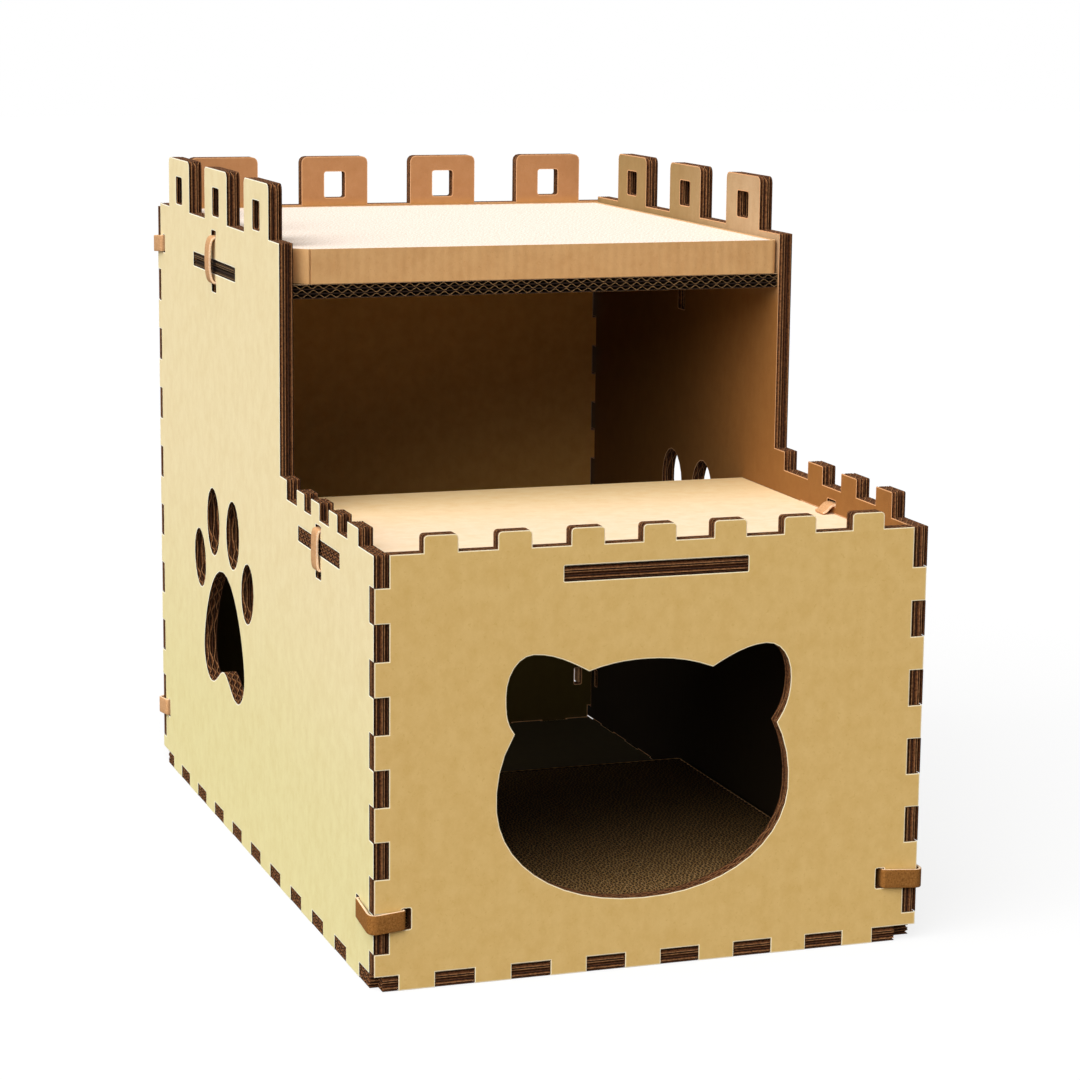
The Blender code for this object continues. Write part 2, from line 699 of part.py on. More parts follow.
def side_board(on_right):
    """Return the outline and holes of one side board."""
    inner = BOARD + GAP
    top, low_crown = side_top(on_right)
    notches = [(0.0, SIDE_CORNER_FRONT), *floor_spans_side(), (DEPTH - SIDE_CORNER_REAR, DEPTH)]
    tabs = side_fingers(RIGHT_FINGER_START if on_right else LEFT_FINGER_START)
    corners = stepped(
        edge(0.0, BOARD + GAP, notches, 0.0, DEPTH),
        edge(DEPTH - TAB_INSET, DEPTH - inner, grown(rear_fingers(), GAP), 0.0, TALL_TOP),
        top,
        edge(inner, TAB_INSET, tabs, 0.0, LOW_TOP),
    )
    tall_crown = TALL_TOP + TALL_MERLON_HEIGHT
    outline = rounded(corners, at_level({low_crown: SIDE_MERLON_ROUND, tall_crown: TALL_MERLON_ROUND}))
    holes = paw(on_right)
    window_rise = RIGHT_WINDOW_RISE if on_right else LEFT_WINDOW_RISE
    window_height = RIGHT_WINDOW_HEIGHT if on_right else WINDOW_HEIGHT
    holes += windows(tall_merlons(on_right), SIDE_WINDOW_WIDTH, TALL_TOP + window_rise, window_height)
    for centre, length, height in (
        (DECK_SIDE_TAB_CENTRE, DECK_SIDE_TAB_LENGTH, DECK_HEIGHT),
        (SHELF_TAB_CENTRE, SHELF_TAB_LENGTH, SHELF_HEIGHT),
    ):
        half = length / 2 + GAP
        holes.append(box_hole(centre - half, centre + half, height - GAP, height + BOARD + GAP, SLOT_ROUND))
    upper, lower = tie_heights(DECK_HEIGHT, DECK_TIE_RISE, DECK_TIE_DROP)
    holes += tie_slots(DECK_SIDE_TAB_CENTRE, upper, lower, DECK_TIE_PLAY_UP, DECK_TIE_PLAY_DOWN)
    drop, centre, play = shelf_tie_setting(on_right)
    upper, lower = tie_heights(SHELF_HEIGHT, SHELF_TIE_RISE, drop)
    holes += tie_slots(centre, upper, lower, SHELF_TIE_PLAY_UP, play)
    front_height = FRONT_RIGHT_BAND_HEIGHT if on_right else FRONT_LEFT_BAND_HEIGHT
    holes.append(band_slot(SIDE_SLOT_FRONT, front_height, play=SIDE_SLOT_PLAY))
    holes.append(band_slot(SIDE_SLOT_REAR, REAR_LOW_BAND_HEIGHT, DEPTH))
    holes.append(band_slot(SIDE_SLOT_REAR, REAR_HIGH_BAND_HEIGHT, DEPTH))
    return outline, holes


def floor_board():
    """Return the outline of the floor, with tabs on all four edges and its corners cut away."""
    inner = BOARD + GAP
    across = grown(floor_spans_front(), -GAP)
    along = grown(floor_spans_side(), -GAP)
    front = across + [
        (FLOOR_CORNER_CUT, FRONT_CORNER_LEFT - GAP),
        (WIDTH - FRONT_CORNER_RIGHT + GAP, WIDTH - FLOOR_CORNER_CUT_RIGHT),
    ]
    rear_start = DEPTH - SIDE_CORNER_REAR + GAP
    rear = across + [(0.0, FRONT_CORNER_LEFT - GAP), (WIDTH - FRONT_CORNER_RIGHT + GAP, WIDTH)]
    sides = along + [(0.0, SIDE_CORNER_FRONT - GAP), (rear_start, DEPTH - FLOOR_CORNER_CUT_REAR)]
    return stepped(
        edge(inner, TAB_INSET, front, 0.0, WIDTH),
        edge(WIDTH - inner, WIDTH - TAB_INSET, sides, 0.0, DEPTH),
        edge(DEPTH - inner, DEPTH - TAB_INSET, rear, 0.0, WIDTH),
        edge(inner, TAB_INSET, sides, 0.0, DEPTH),
    )


def shelf_board(front, rear, side_tab, front_tab=None):
    """Return the outline of the deck or the upper shelf. A tab is (centre, length)."""
    inner = BOARD + GAP
    side_span = [(side_tab[0] - side_tab[1] / 2, side_tab[0] + side_tab[1] / 2)]
    front_span = [(front_tab[0] - front_tab[1] / 2, front_tab[0] + front_tab[1] / 2)] if front_tab else []
    return stepped(
        edge(front, TAB_INSET, front_span, 0.0, WIDTH),
        edge(WIDTH - inner, WIDTH - TAB_INSET, side_span, front, rear),
        edge(rear, rear, [], 0.0, WIDTH),
        edge(inner, TAB_INSET, side_span, front, rear),
    )


def corner_band(cross_slot, side_slot):
    """Return the outline of a band round a corner at the origin, its ends in the two boards' slots."""
    offset = GAP + BAND_THICKNESS / 2
    across = cross_slot + offset
    along = side_slot + offset
    corners = [
        Vector((across, BAND_DEPTH)),
        Vector((across, -MOUTH_BULGE)),
        Vector((-CORNER_BULGE, -CORNER_BULGE)),
        Vector((-MOUTH_BULGE, along)),
        Vector((BAND_DEPTH, along)),
    ]
    radii = (0.0, MOUTH_ROUND, CORNER_ROUND, MOUTH_ROUND, 0.0)
    return ribbon(rounded(corners, lambda index, corner: radii[index], closed=False), BAND_THICKNESS)


def tie(upper, lower, bulge, flap=0.0, flap_height=0.0):
    """Return the outline of a tie outside a left wall, x being 0 on the wall's face and positive inwards.

    With a flap, the upper end reaches on into the room and bends down to lie on the shelf.
    """
    middle = (upper + lower) / 2
    reach = TIE_CREST_LEAN * (upper - lower)
    mouth = -GAP
    path = []
    if flap:
        end = Vector((BOARD + flap, flap_height + GAP + BAND_THICKNESS / 2))
        bend = Vector((BOARD + 2 * GAP, upper))
        end_handle = end - Vector((FLAP_END_LEAN * flap, 0))
        path += smooth(end, end_handle, bend + Vector((FLAP_BEND_LEAN * flap, 0)), bend, SHORT_BEZIER_STEPS)
        path.append(bend)
    else:
        path.append(Vector((BAND_DEPTH, upper)))
    outside = TIE_MOUTH_LEAN * bulge + TIE_MOUTH_REACH
    top = Vector((mouth, upper))
    foot = Vector((mouth, lower))
    crest = Vector((-bulge, middle))
    path += smooth(top, top - Vector((outside, 0)), crest + Vector((0, reach)), crest)
    path += smooth(crest, crest - Vector((0, reach)), foot - Vector((outside, 0)), foot)
    path += [foot, Vector((BAND_DEPTH, lower))]
    return ribbon(path, BAND_THICKNESS)


def mirrored(outline, width=None, depth=None):
    """Return an outline turned over to the far side of the house."""
    return [
        Vector((point.x if width is None else width - point.x, point.y if depth is None else depth - point.y))
        for point in outline
    ]


def pad(low_x, high_x, low_y, high_y, front_round):
    """Return a pad's outline, its inner hole and its core's outline."""
    radii = (front_round, PAD_ROUND, PAD_ROUND, PAD_ROUND)

    def inset(by):
        corners = box_corners(low_x + by, high_x - by, low_y + by, high_y - by)
        return rounded(corners, lambda index, corner: max(radii[index] - by, PAD_LEAST_ROUND))

    return inset(0.0), inset(WRAP), inset(WRAP + GAP)


def build_boards(house):
    """Make the four walls, the floor, the deck and the upper shelf."""
    outline, holes = front_board()
    plate("front_board", outline, holes, BOARD, "front", (0, BOARD / 2, 0), KRAFT_OUTER, house)
    outline, holes = back_board()
    plate("back_board", outline, holes, BOARD, "front", (0, DEPTH - BOARD / 2, 0), KRAFT_INNER, house)
    outline, holes = side_board(False)
    plate("left_board", outline, holes, BOARD, "side", (BOARD / 2, 0, 0), KRAFT_SIDE, house)
    outline, holes = side_board(True)
    plate("right_board", outline, holes, BOARD, "side", (WIDTH - BOARD / 2, 0, 0), KRAFT_SIDE, house)
    plate("floor_board", floor_board(), [], BOARD, "flat", (0, 0, BOARD / 2), KRAFT_OUTER, house)
    deck = shelf_board(
        BOARD + GAP, DECK_BACK, (DECK_SIDE_TAB_CENTRE, DECK_SIDE_TAB_LENGTH),
        (DECK_FRONT_TAB_CENTRE, DECK_FRONT_TAB_LENGTH),
    )
    plate("deck", deck, [], BOARD, "flat", (0, 0, DECK_HEIGHT + BOARD / 2), KRAFT_PALE, house)
    shelf = shelf_board(SHELF_FRONT, DEPTH - BOARD - GAP, (SHELF_TAB_CENTRE, SHELF_TAB_LENGTH))
    plate("shelf", shelf, [], BOARD, "flat", (0, 0, SHELF_HEIGHT + BOARD / 2), KRAFT_OUTER, house)


def build_bands(house):
    """Make the six corner bands and the four ties."""
    bands = (
        ("band_front_left", FRONT_SLOT_LEFT, SIDE_SLOT_FRONT, FRONT_LEFT_BAND_HEIGHT, False, False),
        ("band_front_right", FRONT_SLOT_RIGHT, SIDE_SLOT_FRONT, FRONT_RIGHT_BAND_HEIGHT, True, False),
        ("band_rear_left_low", BACK_SLOT, SIDE_SLOT_REAR, REAR_LOW_BAND_HEIGHT, False, True),
        ("band_rear_left_high", BACK_SLOT, SIDE_SLOT_REAR, REAR_HIGH_BAND_HEIGHT, False, True),
        ("band_rear_right_low", BACK_SLOT, SIDE_SLOT_REAR, REAR_LOW_BAND_HEIGHT, True, True),
        ("band_rear_right_high", BACK_SLOT, SIDE_SLOT_REAR, REAR_HIGH_BAND_HEIGHT, True, True),
    )
    for name, cross_slot, side_slot, height, on_right, at_rear in bands:
        outline = mirrored(
            corner_band(cross_slot, side_slot), WIDTH if on_right else None, DEPTH if at_rear else None
        )
        plate(name, outline, [], BAND_WIDTH, "flat", (0, 0, height), BAND_BROWN, house)
    for side in ("left", "right"):
        far = WIDTH if side == "right" else None
        upper, lower = tie_heights(DECK_HEIGHT, DECK_TIE_RISE, DECK_TIE_DROP)
        outline = mirrored(tie(upper, lower, DECK_TIE_BULGE, DECK_TIE_FLAP, DECK_HEIGHT + BOARD), far)
        place = (0, DECK_SIDE_TAB_CENTRE, 0)
        plate("deck_tie_" + side, outline, [], BAND_WIDTH, "front", place, BAND_BROWN, house)
        drop, centre, _ = shelf_tie_setting(side == "right")
        upper, lower = tie_heights(SHELF_HEIGHT, SHELF_TIE_RISE, drop)
        outline = mirrored(tie(upper, lower, SHELF_TIE_BULGE), far)
        plate("shelf_tie_" + side, outline, [], BAND_WIDTH, "front", (0, centre, 0), BAND_BROWN, house)


def build_pads(house):
    """Make the two loose scratcher pads, each a wrapped core."""
    low_x = BOARD + PAD_SIDE_PLAY
    rear = DEPTH - BOARD - PAD_SIDE_PLAY
    outer, hole, core = pad(low_x, WIDTH - low_x, SHELF_FRONT, rear, PAD_FRONT_ROUND)
    base = SHELF_HEIGHT + BOARD + GAP
    place = (0, 0, base + PAD_HEIGHT / 2)
    plate("upper_pad_wrap", outer, [hole], PAD_HEIGHT, "flat", place, WRAP_KRAFT, house)
    place = (0, 0, base + (PAD_HEIGHT - CORE_DROP) / 2)
    plate("upper_pad_core", core, [], PAD_HEIGHT - CORE_DROP, "flat", place, CORE_CREAM, house)
    low_x = BOARD + LOWER_PAD_SIDE_PLAY
    front = BOARD + PAD_SIDE_PLAY
    outer, hole, core = pad(low_x, WIDTH - low_x, front, front + LOWER_PAD_LENGTH, PAD_ROUND)
    base = BOARD + GAP
    place = (0, 0, base + LOWER_PAD_HEIGHT / 2)
    plate("lower_pad_wrap", outer, [hole], LOWER_PAD_HEIGHT, "flat", place, WRAP_KRAFT, house)
    place = (0, 0, base + (LOWER_PAD_HEIGHT - CORE_DROP) / 2)
    plate("lower_pad_core", core, [], LOWER_PAD_HEIGHT - CORE_DROP, "flat", place, CORE_BROWN, house)


def main():
    """Build the whole house round the origin."""
    clear_scene()
    parts = collection("Cat scratcher house")
    root = bpy.data.objects.new("house", None)
    root.location = (-WIDTH / 2, -DEPTH / 2, 0.0)
    parts.objects.link(root)
    house = (root, parts)
    build_boards(house)
    build_bands(house)
    build_pads(house)
    bpy.context.view_layer.update()


main()
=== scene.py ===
"""The look of a flat-pack cat house of corrugated board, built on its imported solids.

Every board is made again as the real sheet is: four liners with three fluted sheets between them, cut by
a laser. The straps get rounded edges and a fibrous face, and the two scratcher pads get their belt and
their open flutes. Lengths are in metres, unless a name says millimetres.
"""

import json
import logging
import math
from dataclasses import KW_ONLY, dataclass
from enum import Enum

import bmesh
import bpy
from mathutils import Matrix, Vector

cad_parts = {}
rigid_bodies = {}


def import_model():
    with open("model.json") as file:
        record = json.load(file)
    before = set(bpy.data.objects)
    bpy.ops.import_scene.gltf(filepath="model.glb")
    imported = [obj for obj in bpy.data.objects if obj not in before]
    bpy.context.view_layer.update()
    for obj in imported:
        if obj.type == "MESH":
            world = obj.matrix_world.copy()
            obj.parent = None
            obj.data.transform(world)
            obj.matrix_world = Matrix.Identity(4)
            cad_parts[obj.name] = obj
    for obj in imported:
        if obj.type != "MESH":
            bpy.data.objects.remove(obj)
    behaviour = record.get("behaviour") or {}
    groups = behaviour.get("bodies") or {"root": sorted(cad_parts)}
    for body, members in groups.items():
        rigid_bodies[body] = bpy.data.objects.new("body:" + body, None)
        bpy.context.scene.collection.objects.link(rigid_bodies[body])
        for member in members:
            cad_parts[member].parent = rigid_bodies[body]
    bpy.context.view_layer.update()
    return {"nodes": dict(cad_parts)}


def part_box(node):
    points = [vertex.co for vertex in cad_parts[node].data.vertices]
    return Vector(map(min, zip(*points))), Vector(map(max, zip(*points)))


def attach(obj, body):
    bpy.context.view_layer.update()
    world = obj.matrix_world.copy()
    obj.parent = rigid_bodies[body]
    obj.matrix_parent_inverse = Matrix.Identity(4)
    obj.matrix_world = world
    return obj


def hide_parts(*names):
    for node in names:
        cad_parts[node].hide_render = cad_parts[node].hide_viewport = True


for leftover in list(bpy.data.objects):
    bpy.data.objects.remove(leftover, do_unlink=True)
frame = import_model()

# A face looks along an axis where that share of its normal is above FACING, and stands on edge to it
# where it is below ON_EDGE.
FACING = 0.9
ON_EDGE = 0.2
MERGE_DISTANCE = 1e-6
# The Mix node's two colours and its result, whose names it shares with other kinds of value.
UNDER, OVER, MIXED = 6, 7, 2
# A wave texture's bands are 2 pi / 20 of a unit apart at a scale of 1.
WAVE_BANDS = math.pi / 10

Tree = bpy.types.NodeTree
Socket = bpy.types.NodeSocket
Material = bpy.types.Material
Mesh = bpy.types.Mesh
Shape = bmesh.types.BMesh
Band = tuple[float, float, float]

log = logging.getLogger("cat_house")


class Axis(Enum):
    """A direction of the house."""

    ACROSS = 0
    ALONG = 1
    UP = 2


def linear(code: str) -> tuple[float, float, float, float]:
    """Turn an sRGB hex colour into linear light.

    Args:
        code: the colour, as in "#c8a765".

    Returns:
        Red, green and blue in linear light, and an alpha of 1.
    """
    values = [int(code[start : start + 2], 16) / 255 for start in (1, 3, 5)]
    red, green, blue = (
        value / 12.92 if value <= 0.04045 else ((value + 0.055) / 1.055) ** 2.4 for value in values
    )
    return red, green, blue, 1.0


def per_metre(millimetres: float) -> float:
    """Return how many features of a size in millimetres go into a metre, which is a texture's scale."""
    return 1000.0 / millimetres


def add_node(
    tree: Tree, kind: str, settings: dict | None = None, links: dict | None = None
) -> bpy.types.Node:
    """Add one node.

    Args:
        tree: the tree that gets it.
        kind: the node's type.
        settings: its properties, and its input values under their capitalised names or their numbers.
        links: what feeds each named or numbered input, an output socket or a node's first output.

    Returns:
        The node.
    """
    node = tree.nodes.new(kind)
    for name, value in (settings or {}).items():
        if isinstance(name, int) or name[0].isupper():
            node.inputs[name].default_value = value
        else:
            setattr(node, name, value)
    for name, source in (links or {}).items():
        output = source.outputs[0] if isinstance(source, bpy.types.Node) else source
        tree.links.new(output, node.inputs[name])
    return node


def patches(
    tree: Tree, place: Socket, size_mm: float, band: Band, detail: float = 3.0, roughness: float = 0.5
) -> tuple[Socket, Socket]:
    """Add a noise and the share of the surface that its patches cover.

    Args:
        tree: the material's nodes.
        place: the coordinates.
        size_mm: the size of a patch.
        band: the noise's values where a patch begins and where it is full, and the most that it covers.
        detail: how many finer noises lie over it.
        roughness: how strong they are.

    Returns:
        The noise's value and the share.
    """
    noise = add_node(
        tree, "ShaderNodeTexNoise", {"Scale": per_metre(size_mm), "Detail": detail, "Roughness": roughness},
        {"Vector": place},
    )
    begins, full, most = band
    share = add_node(
        tree, "ShaderNodeMapRange", {"From Min": begins, "From Max": full, "To Max": most}, {"Value": noise}
    )
    return noise.outputs[0], share.outputs[0]


def toned(tree: Tree, colour: Socket, place: Socket, begins: float, ends: float, tone: str) -> Socket:
    """Multiply a colour by a tone that comes in smoothly between two places.

    Args:
        tree: the material's nodes.
        colour: the colour.
        place: one coordinate.
        begins: where the tone begins.
        ends: where it is full.
        tone: the tone.

    Returns:
        The new colour.
    """
    share = add_node(
        tree, "ShaderNodeMapRange",
        {"interpolation_type": "SMOOTHSTEP", "From Min": begins, "From Max": ends}, {"Value": place},
    )
    mixed = add_node(
        tree, "ShaderNodeMix", {"data_type": "RGBA", "blend_type": "MULTIPLY", OVER: linear(tone)},
        {0: share, UNDER: colour},
    )
    return mixed.outputs[MIXED]


class Finish:
    """A dull surface. Each kind has its own pattern, roughness and relief."""

    name: str
    roughness: float
    specular: float
    bump_strength: float
    bump_depth: float

    def pattern(self, tree: Tree, place: Socket) -> tuple[Socket, Socket]:
        """Add the pattern, and return its colour and its height."""
        raise NotImplementedError

    def build(self) -> Material:
        """Make the finish.

        Returns:
            Its material.
        """
        material = bpy.data.materials.new(self.name)
        material.use_nodes = True
        tree = material.node_tree
        tree.nodes.clear()
        place = add_node(tree, "ShaderNodeTexCoord").outputs["Object"]
        colour, height = self.pattern(tree, place)
        bump = add_node(
            tree, "ShaderNodeBump", {"Strength": self.bump_strength, "Distance": self.bump_depth},
            {"Height": height},
        )
        shader = add_node(
            tree, "ShaderNodeBsdfPrincipled",
            {"Roughness": self.roughness, "Specular IOR Level": self.specular},
            {"Base Color": colour, "Normal": bump},
        )
        add_node(tree, "ShaderNodeOutputMaterial", links={"Surface": shader})
        return material


@dataclass(frozen=True)
class KraftLiner(Finish):
    """Unbleached kraft linerboard, calendered: a dull paper with cloudy patches, long fibres and dark flecks.

    The fluted sheet under it shows as faint stripes, one to each flute, in relief and as painted shade in the
    colour.
    """

    name: str
    paper: str
    shade: str
    fibre: str
    flutes_run: Axis
    stripes_across: Axis
    tones: tuple[tuple[Axis, float, float, str], ...] = ()
    cloud_mm: float = 11.0
    cloud_band: Band = (0.36, 0.70, 0.62)
    fibre_mm: float = 1.6
    fibre_band: Band = (0.52, 0.75, 0.16)
    fibre_stretch: float = 1.15
    fleck_mm: float = 2.0
    fleck_band: Band = (0.64, 0.72, 0.6)
    flute_pitch_mm: float = 8.7
    # Painted shade: how far the stripes darken the colour towards the shade colour.
    stripe_painted_shade: float = 0.06
    stripe_wander: float = 0.7
    stripe_relief: float = 0.3
    roughness: float = 0.85
    specular: float = 0.25
    bump_strength: float = 0.35
    bump_depth: float = 0.0002

    def pattern(self, tree: Tree, place: Socket) -> tuple[Socket, Socket]:
        """Add the clouds, stripes, fibres, flecks and tones.

        Args:
            tree: the material's nodes.
            place: the object's coordinates.

        Returns:
            The colour and the height.
        """
        stretch = [1.0, 1.0, 1.0]
        stretch[self.flutes_run.value] = 1.0 / self.fibre_stretch
        grain = add_node(tree, "ShaderNodeMapping", {"Scale": stretch}, {"Vector": place}).outputs[0]
        _, cloudy = patches(tree, grain, self.cloud_mm, self.cloud_band, detail=4.0, roughness=0.62)
        fibres, fibrous = patches(tree, grain, self.fibre_mm, self.fibre_band)
        _, flecked = patches(tree, place, self.fleck_mm, self.fleck_band, detail=2.0)
        stripes = add_node(
            tree, "ShaderNodeTexWave",
            {"bands_direction": "XYZ"[self.stripes_across.value],
             "Scale": WAVE_BANDS * per_metre(self.flute_pitch_mm),
             "Distortion": self.stripe_wander, "Detail": 1.0},
            {"Vector": place},
        ).outputs[1]
        painted_stripe_shade = add_node(
            tree, "ShaderNodeMath", {"operation": "MULTIPLY", 1: self.stripe_painted_shade}, {0: stripes}
        ).outputs[0]
        face = add_node(
            tree, "ShaderNodeMix",
            {"data_type": "RGBA", UNDER: linear(self.paper), OVER: linear(self.shade)}, {0: cloudy},
        ).outputs[MIXED]
        for share, tint in ((painted_stripe_shade, self.shade), (fibrous, self.fibre), (flecked, self.shade)):
            face = add_node(
                tree, "ShaderNodeMix", {"data_type": "RGBA", OVER: linear(tint)}, {0: share, UNDER: face}
            ).outputs[MIXED]
        axes = add_node(tree, "ShaderNodeSeparateXYZ", links={0: place})
        for axis, begins, ends, tone in self.tones:
            face = toned(tree, face, axes.outputs[axis.value], begins, ends, tone)
        relief = add_node(
            tree, "ShaderNodeMath", {"operation": "MULTIPLY_ADD", 1: self.stripe_relief},
            {0: stripes, 2: fibres},
        )
        return face, relief.outputs[0]


@dataclass(frozen=True)
class CutPaper(Finish):
    """Paper at a laser cut: burnt brown to black at the liner's end, paler where only the surface lifted."""

    name: str
    colour: str
    burnt: str
    burnt_share: float = 0.8
    burnt_from: float = 0.36
    burnt_full: float = 0.66
    patch_mm: float = 1.6
    roughness: float = 0.92
    specular: float = 0.2
    bump_strength: float = 0.4
    bump_depth: float = 0.0001

    def pattern(self, tree: Tree, place: Socket) -> tuple[Socket, Socket]:
        """Add the burnt patches.

        Args:
            tree: the material's nodes.
            place: the object's coordinates.

        Returns:
            The colour and the height.
        """
        band = (self.burnt_from, self.burnt_full, self.burnt_share)
        height, share = patches(tree, place, self.patch_mm, band)
        face = add_node(
            tree, "ShaderNodeMix",
            {"data_type": "RGBA", UNDER: linear(self.colour), OVER: linear(self.burnt)}, {0: share},
        )
        return face.outputs[MIXED], height


@dataclass(frozen=True)
class Webbing(Finish):
    """Soft brown strap of pressed fibre: speckled light and dark, and quite dull."""

    name: str
    colour: str
    dark: str
    pale: str
    speckle_mm: float = 1.3
    dark_band: Band = (0.52, 0.36, 0.75)
    pale_band: Band = (0.56, 0.72, 0.7)
    roughness: float = 0.9
    specular: float = 0.2
    bump_strength: float = 0.5
    bump_depth: float = 0.0003

    def pattern(self, tree: Tree, place: Socket) -> tuple[Socket, Socket]:
        """Add the dark and the pale speckles.

        Args:
            tree: the material's nodes.
            place: the object's coordinates.

        Returns:
            The colour and the height.
        """
        _, dark = patches(tree, place, self.speckle_mm, self.dark_band, detail=4.0, roughness=0.7)
        height, pale = patches(tree, place, self.speckle_mm, self.pale_band, detail=4.0, roughness=0.7)
        darkened = add_node(
            tree, "ShaderNodeMix",
            {"data_type": "RGBA", UNDER: linear(self.colour), OVER: linear(self.dark)}, {0: dark},
        )
        speckled = add_node(
            tree, "ShaderNodeMix", {"data_type": "RGBA", OVER: linear(self.pale)},
            {0: pale, UNDER: darkened.outputs[MIXED]},
        )
        return speckled.outputs[MIXED], height


@dataclass(frozen=True)
class FluteEnds(Finish):
    """The scratching face of strips glued on edge: paper waves between straight liners, over pits whose
    colour is painted shade.

    The rows run along the house and wander a little.
    """

    name: str
    paper: str
    worn: str
    # Painted shade: the colour of the pits, the flutes' open holes.
    pit_painted_shade: str
    fleck: str
    row_mm: float = 3.5
    pitch_mm: float = 8.7
    # Thicker than real paper, so that it shows.
    paper_mm: float = 0.55
    # Where the paper's edge begins and ends, in thicknesses of the paper.
    wave_edge: tuple[float, float] = (1.3, 0.5)
    liner_edge: tuple[float, float] = (0.9, 0.3)
    wave_share: float = 0.34
    # Painted shade: a tone that comes in towards the rear, none by default.
    painted_rear_shade: tuple[float, float, str] = (0.0, 1.0, "#ffffff")
    wander_mm: float = 16.0
    wander: float = 0.0080
    wear_mm: float = 3.0
    wear_band: Band = (0.4, 0.7, 1.0)
    fleck_mm: float = 1.8
    fleck_band: Band = (0.62, 0.67, 0.8)
    roughness: float = 0.9
    specular: float = 0.2
    bump_strength: float = 0.6
    bump_depth: float = 0.0008

    def waves(self, tree: Tree, place: Socket) -> Socket:
        """Add the waves and the liners between them.

        Args:
            tree: the material's nodes.
            place: the object's coordinates.

        Returns:
            The height: 1 on the paper and 0 in the pits.
        """
        wander = add_node(
            tree, "ShaderNodeTexNoise", {"Scale": per_metre(self.wander_mm), "Detail": 2.0}, {"Vector": place}
        )
        axes = add_node(tree, "ShaderNodeSeparateXYZ", links={0: place})
        shifted = add_node(
            tree, "ShaderNodeMath", {"operation": "MULTIPLY_ADD", 1: self.wander}, {0: wander, 2: axes}
        )
        rows = add_node(
            tree, "ShaderNodeMath", {"operation": "MULTIPLY", 1: per_metre(self.row_mm)}, {0: shifted}
        )
        row = add_node(tree, "ShaderNodeMath", {"operation": "FLOOR"}, {0: rows})
        inside = add_node(tree, "ShaderNodeMath", {"operation": "FRACT"}, {0: rows})
        level = add_node(tree, "ShaderNodeMath", {"operation": "SUBTRACT", 1: 0.5}, {0: inside})
        chance = add_node(tree, "ShaderNodeTexWhiteNoise", {"noise_dimensions": "1D"}, {"W": row})
        turn = add_node(tree, "ShaderNodeMath", {"operation": "MULTIPLY", 1: 2 * math.pi}, {0: chance})
        angle = add_node(
            tree, "ShaderNodeMath", {"operation": "MULTIPLY_ADD", 1: 2 * math.pi * per_metre(self.pitch_mm)},
            {0: axes.outputs[1], 2: turn},
        )
        sine = add_node(tree, "ShaderNodeMath", {"operation": "SINE"}, {0: angle})
        wave = add_node(tree, "ShaderNodeMath", {"operation": "MULTIPLY", 1: self.wave_share}, {0: sine})
        off_wave = add_node(tree, "ShaderNodeMath", {"operation": "SUBTRACT"}, {0: level, 1: wave})
        distance = add_node(tree, "ShaderNodeMath", {"operation": "ABSOLUTE"}, {0: off_wave})
        paper = self.paper_mm / self.row_mm
        begins, full = (paper * share for share in self.wave_edge)
        on_wave = add_node(
            tree, "ShaderNodeMapRange", {"From Min": begins, "From Max": full}, {"Value": distance}
        )
        from_middle = add_node(tree, "ShaderNodeMath", {"operation": "ABSOLUTE"}, {0: level})
        begins, full = (0.5 - paper * share for share in self.liner_edge)
        on_liner = add_node(
            tree, "ShaderNodeMapRange", {"From Min": begins, "From Max": full}, {"Value": from_middle}
        )
        both = add_node(tree, "ShaderNodeMath", {"operation": "MAXIMUM"}, {0: on_wave, 1: on_liner})
        return both.outputs[0]

    def pattern(self, tree: Tree, place: Socket) -> tuple[Socket, Socket]:
        """Add the waves, their wear, the flecks and the painted shade towards the rear.

        Args:
            tree: the material's nodes.
            place: the object's coordinates.

        Returns:
            The colour and the height.
        """
        height = self.waves(tree, place)
        _, worn = patches(tree, place, self.wear_mm, self.wear_band)
        _, flecked = patches(tree, place, self.fleck_mm, self.fleck_band, detail=2.0)
        paper = add_node(
            tree, "ShaderNodeMix",
            {"data_type": "RGBA", UNDER: linear(self.paper), OVER: linear(self.worn)}, {0: worn},
        )
        face = add_node(
            tree, "ShaderNodeMix", {"data_type": "RGBA", UNDER: linear(self.pit_painted_shade)},
            {0: height, OVER: paper.outputs[MIXED]},
        )
        with_flecks = add_node(
            tree, "ShaderNodeMix", {"data_type": "RGBA", OVER: linear(self.fleck)},
            {0: flecked, UNDER: face.outputs[MIXED]},
        )
        along = add_node(tree, "ShaderNodeSeparateXYZ", links={0: place}).outputs[Axis.ALONG.value]
        return toned(tree, with_flecks.outputs[MIXED], along, *self.painted_rear_shade), height


def add_piece(mesh: Mesh, finishes: list[Material], name: str, body: str, node: str) -> None:
    """Put a finished mesh into the scene in place of a CAD node.

    Args:
        mesh: the mesh.
        finishes: the materials that its faces are numbered for.
        name: the piece's name.
        body: the CAD body that it rides on.
        node: the CAD node that it stands for.
    """
    for finish in finishes:
        mesh.materials.append(finish)
    piece = bpy.data.objects.new(name, mesh)
    bpy.context.scene.collection.objects.link(piece)
    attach(piece, body)
    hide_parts(node)
    log.info("%s: %d faces", name, len(mesh.polygons))


def evaluated(helper: bpy.types.Object) -> Mesh:
    """Apply an object's modifiers and remove the object.

    Args:
        helper: the object.

    Returns:
        Its mesh with the modifiers applied.
    """
    bpy.context.view_layer.update()
    graph = bpy.context.evaluated_depsgraph_get()
    mesh = bpy.data.meshes.new_from_object(helper.evaluated_get(graph))
    bpy.data.objects.remove(helper, do_unlink=True)
    return mesh


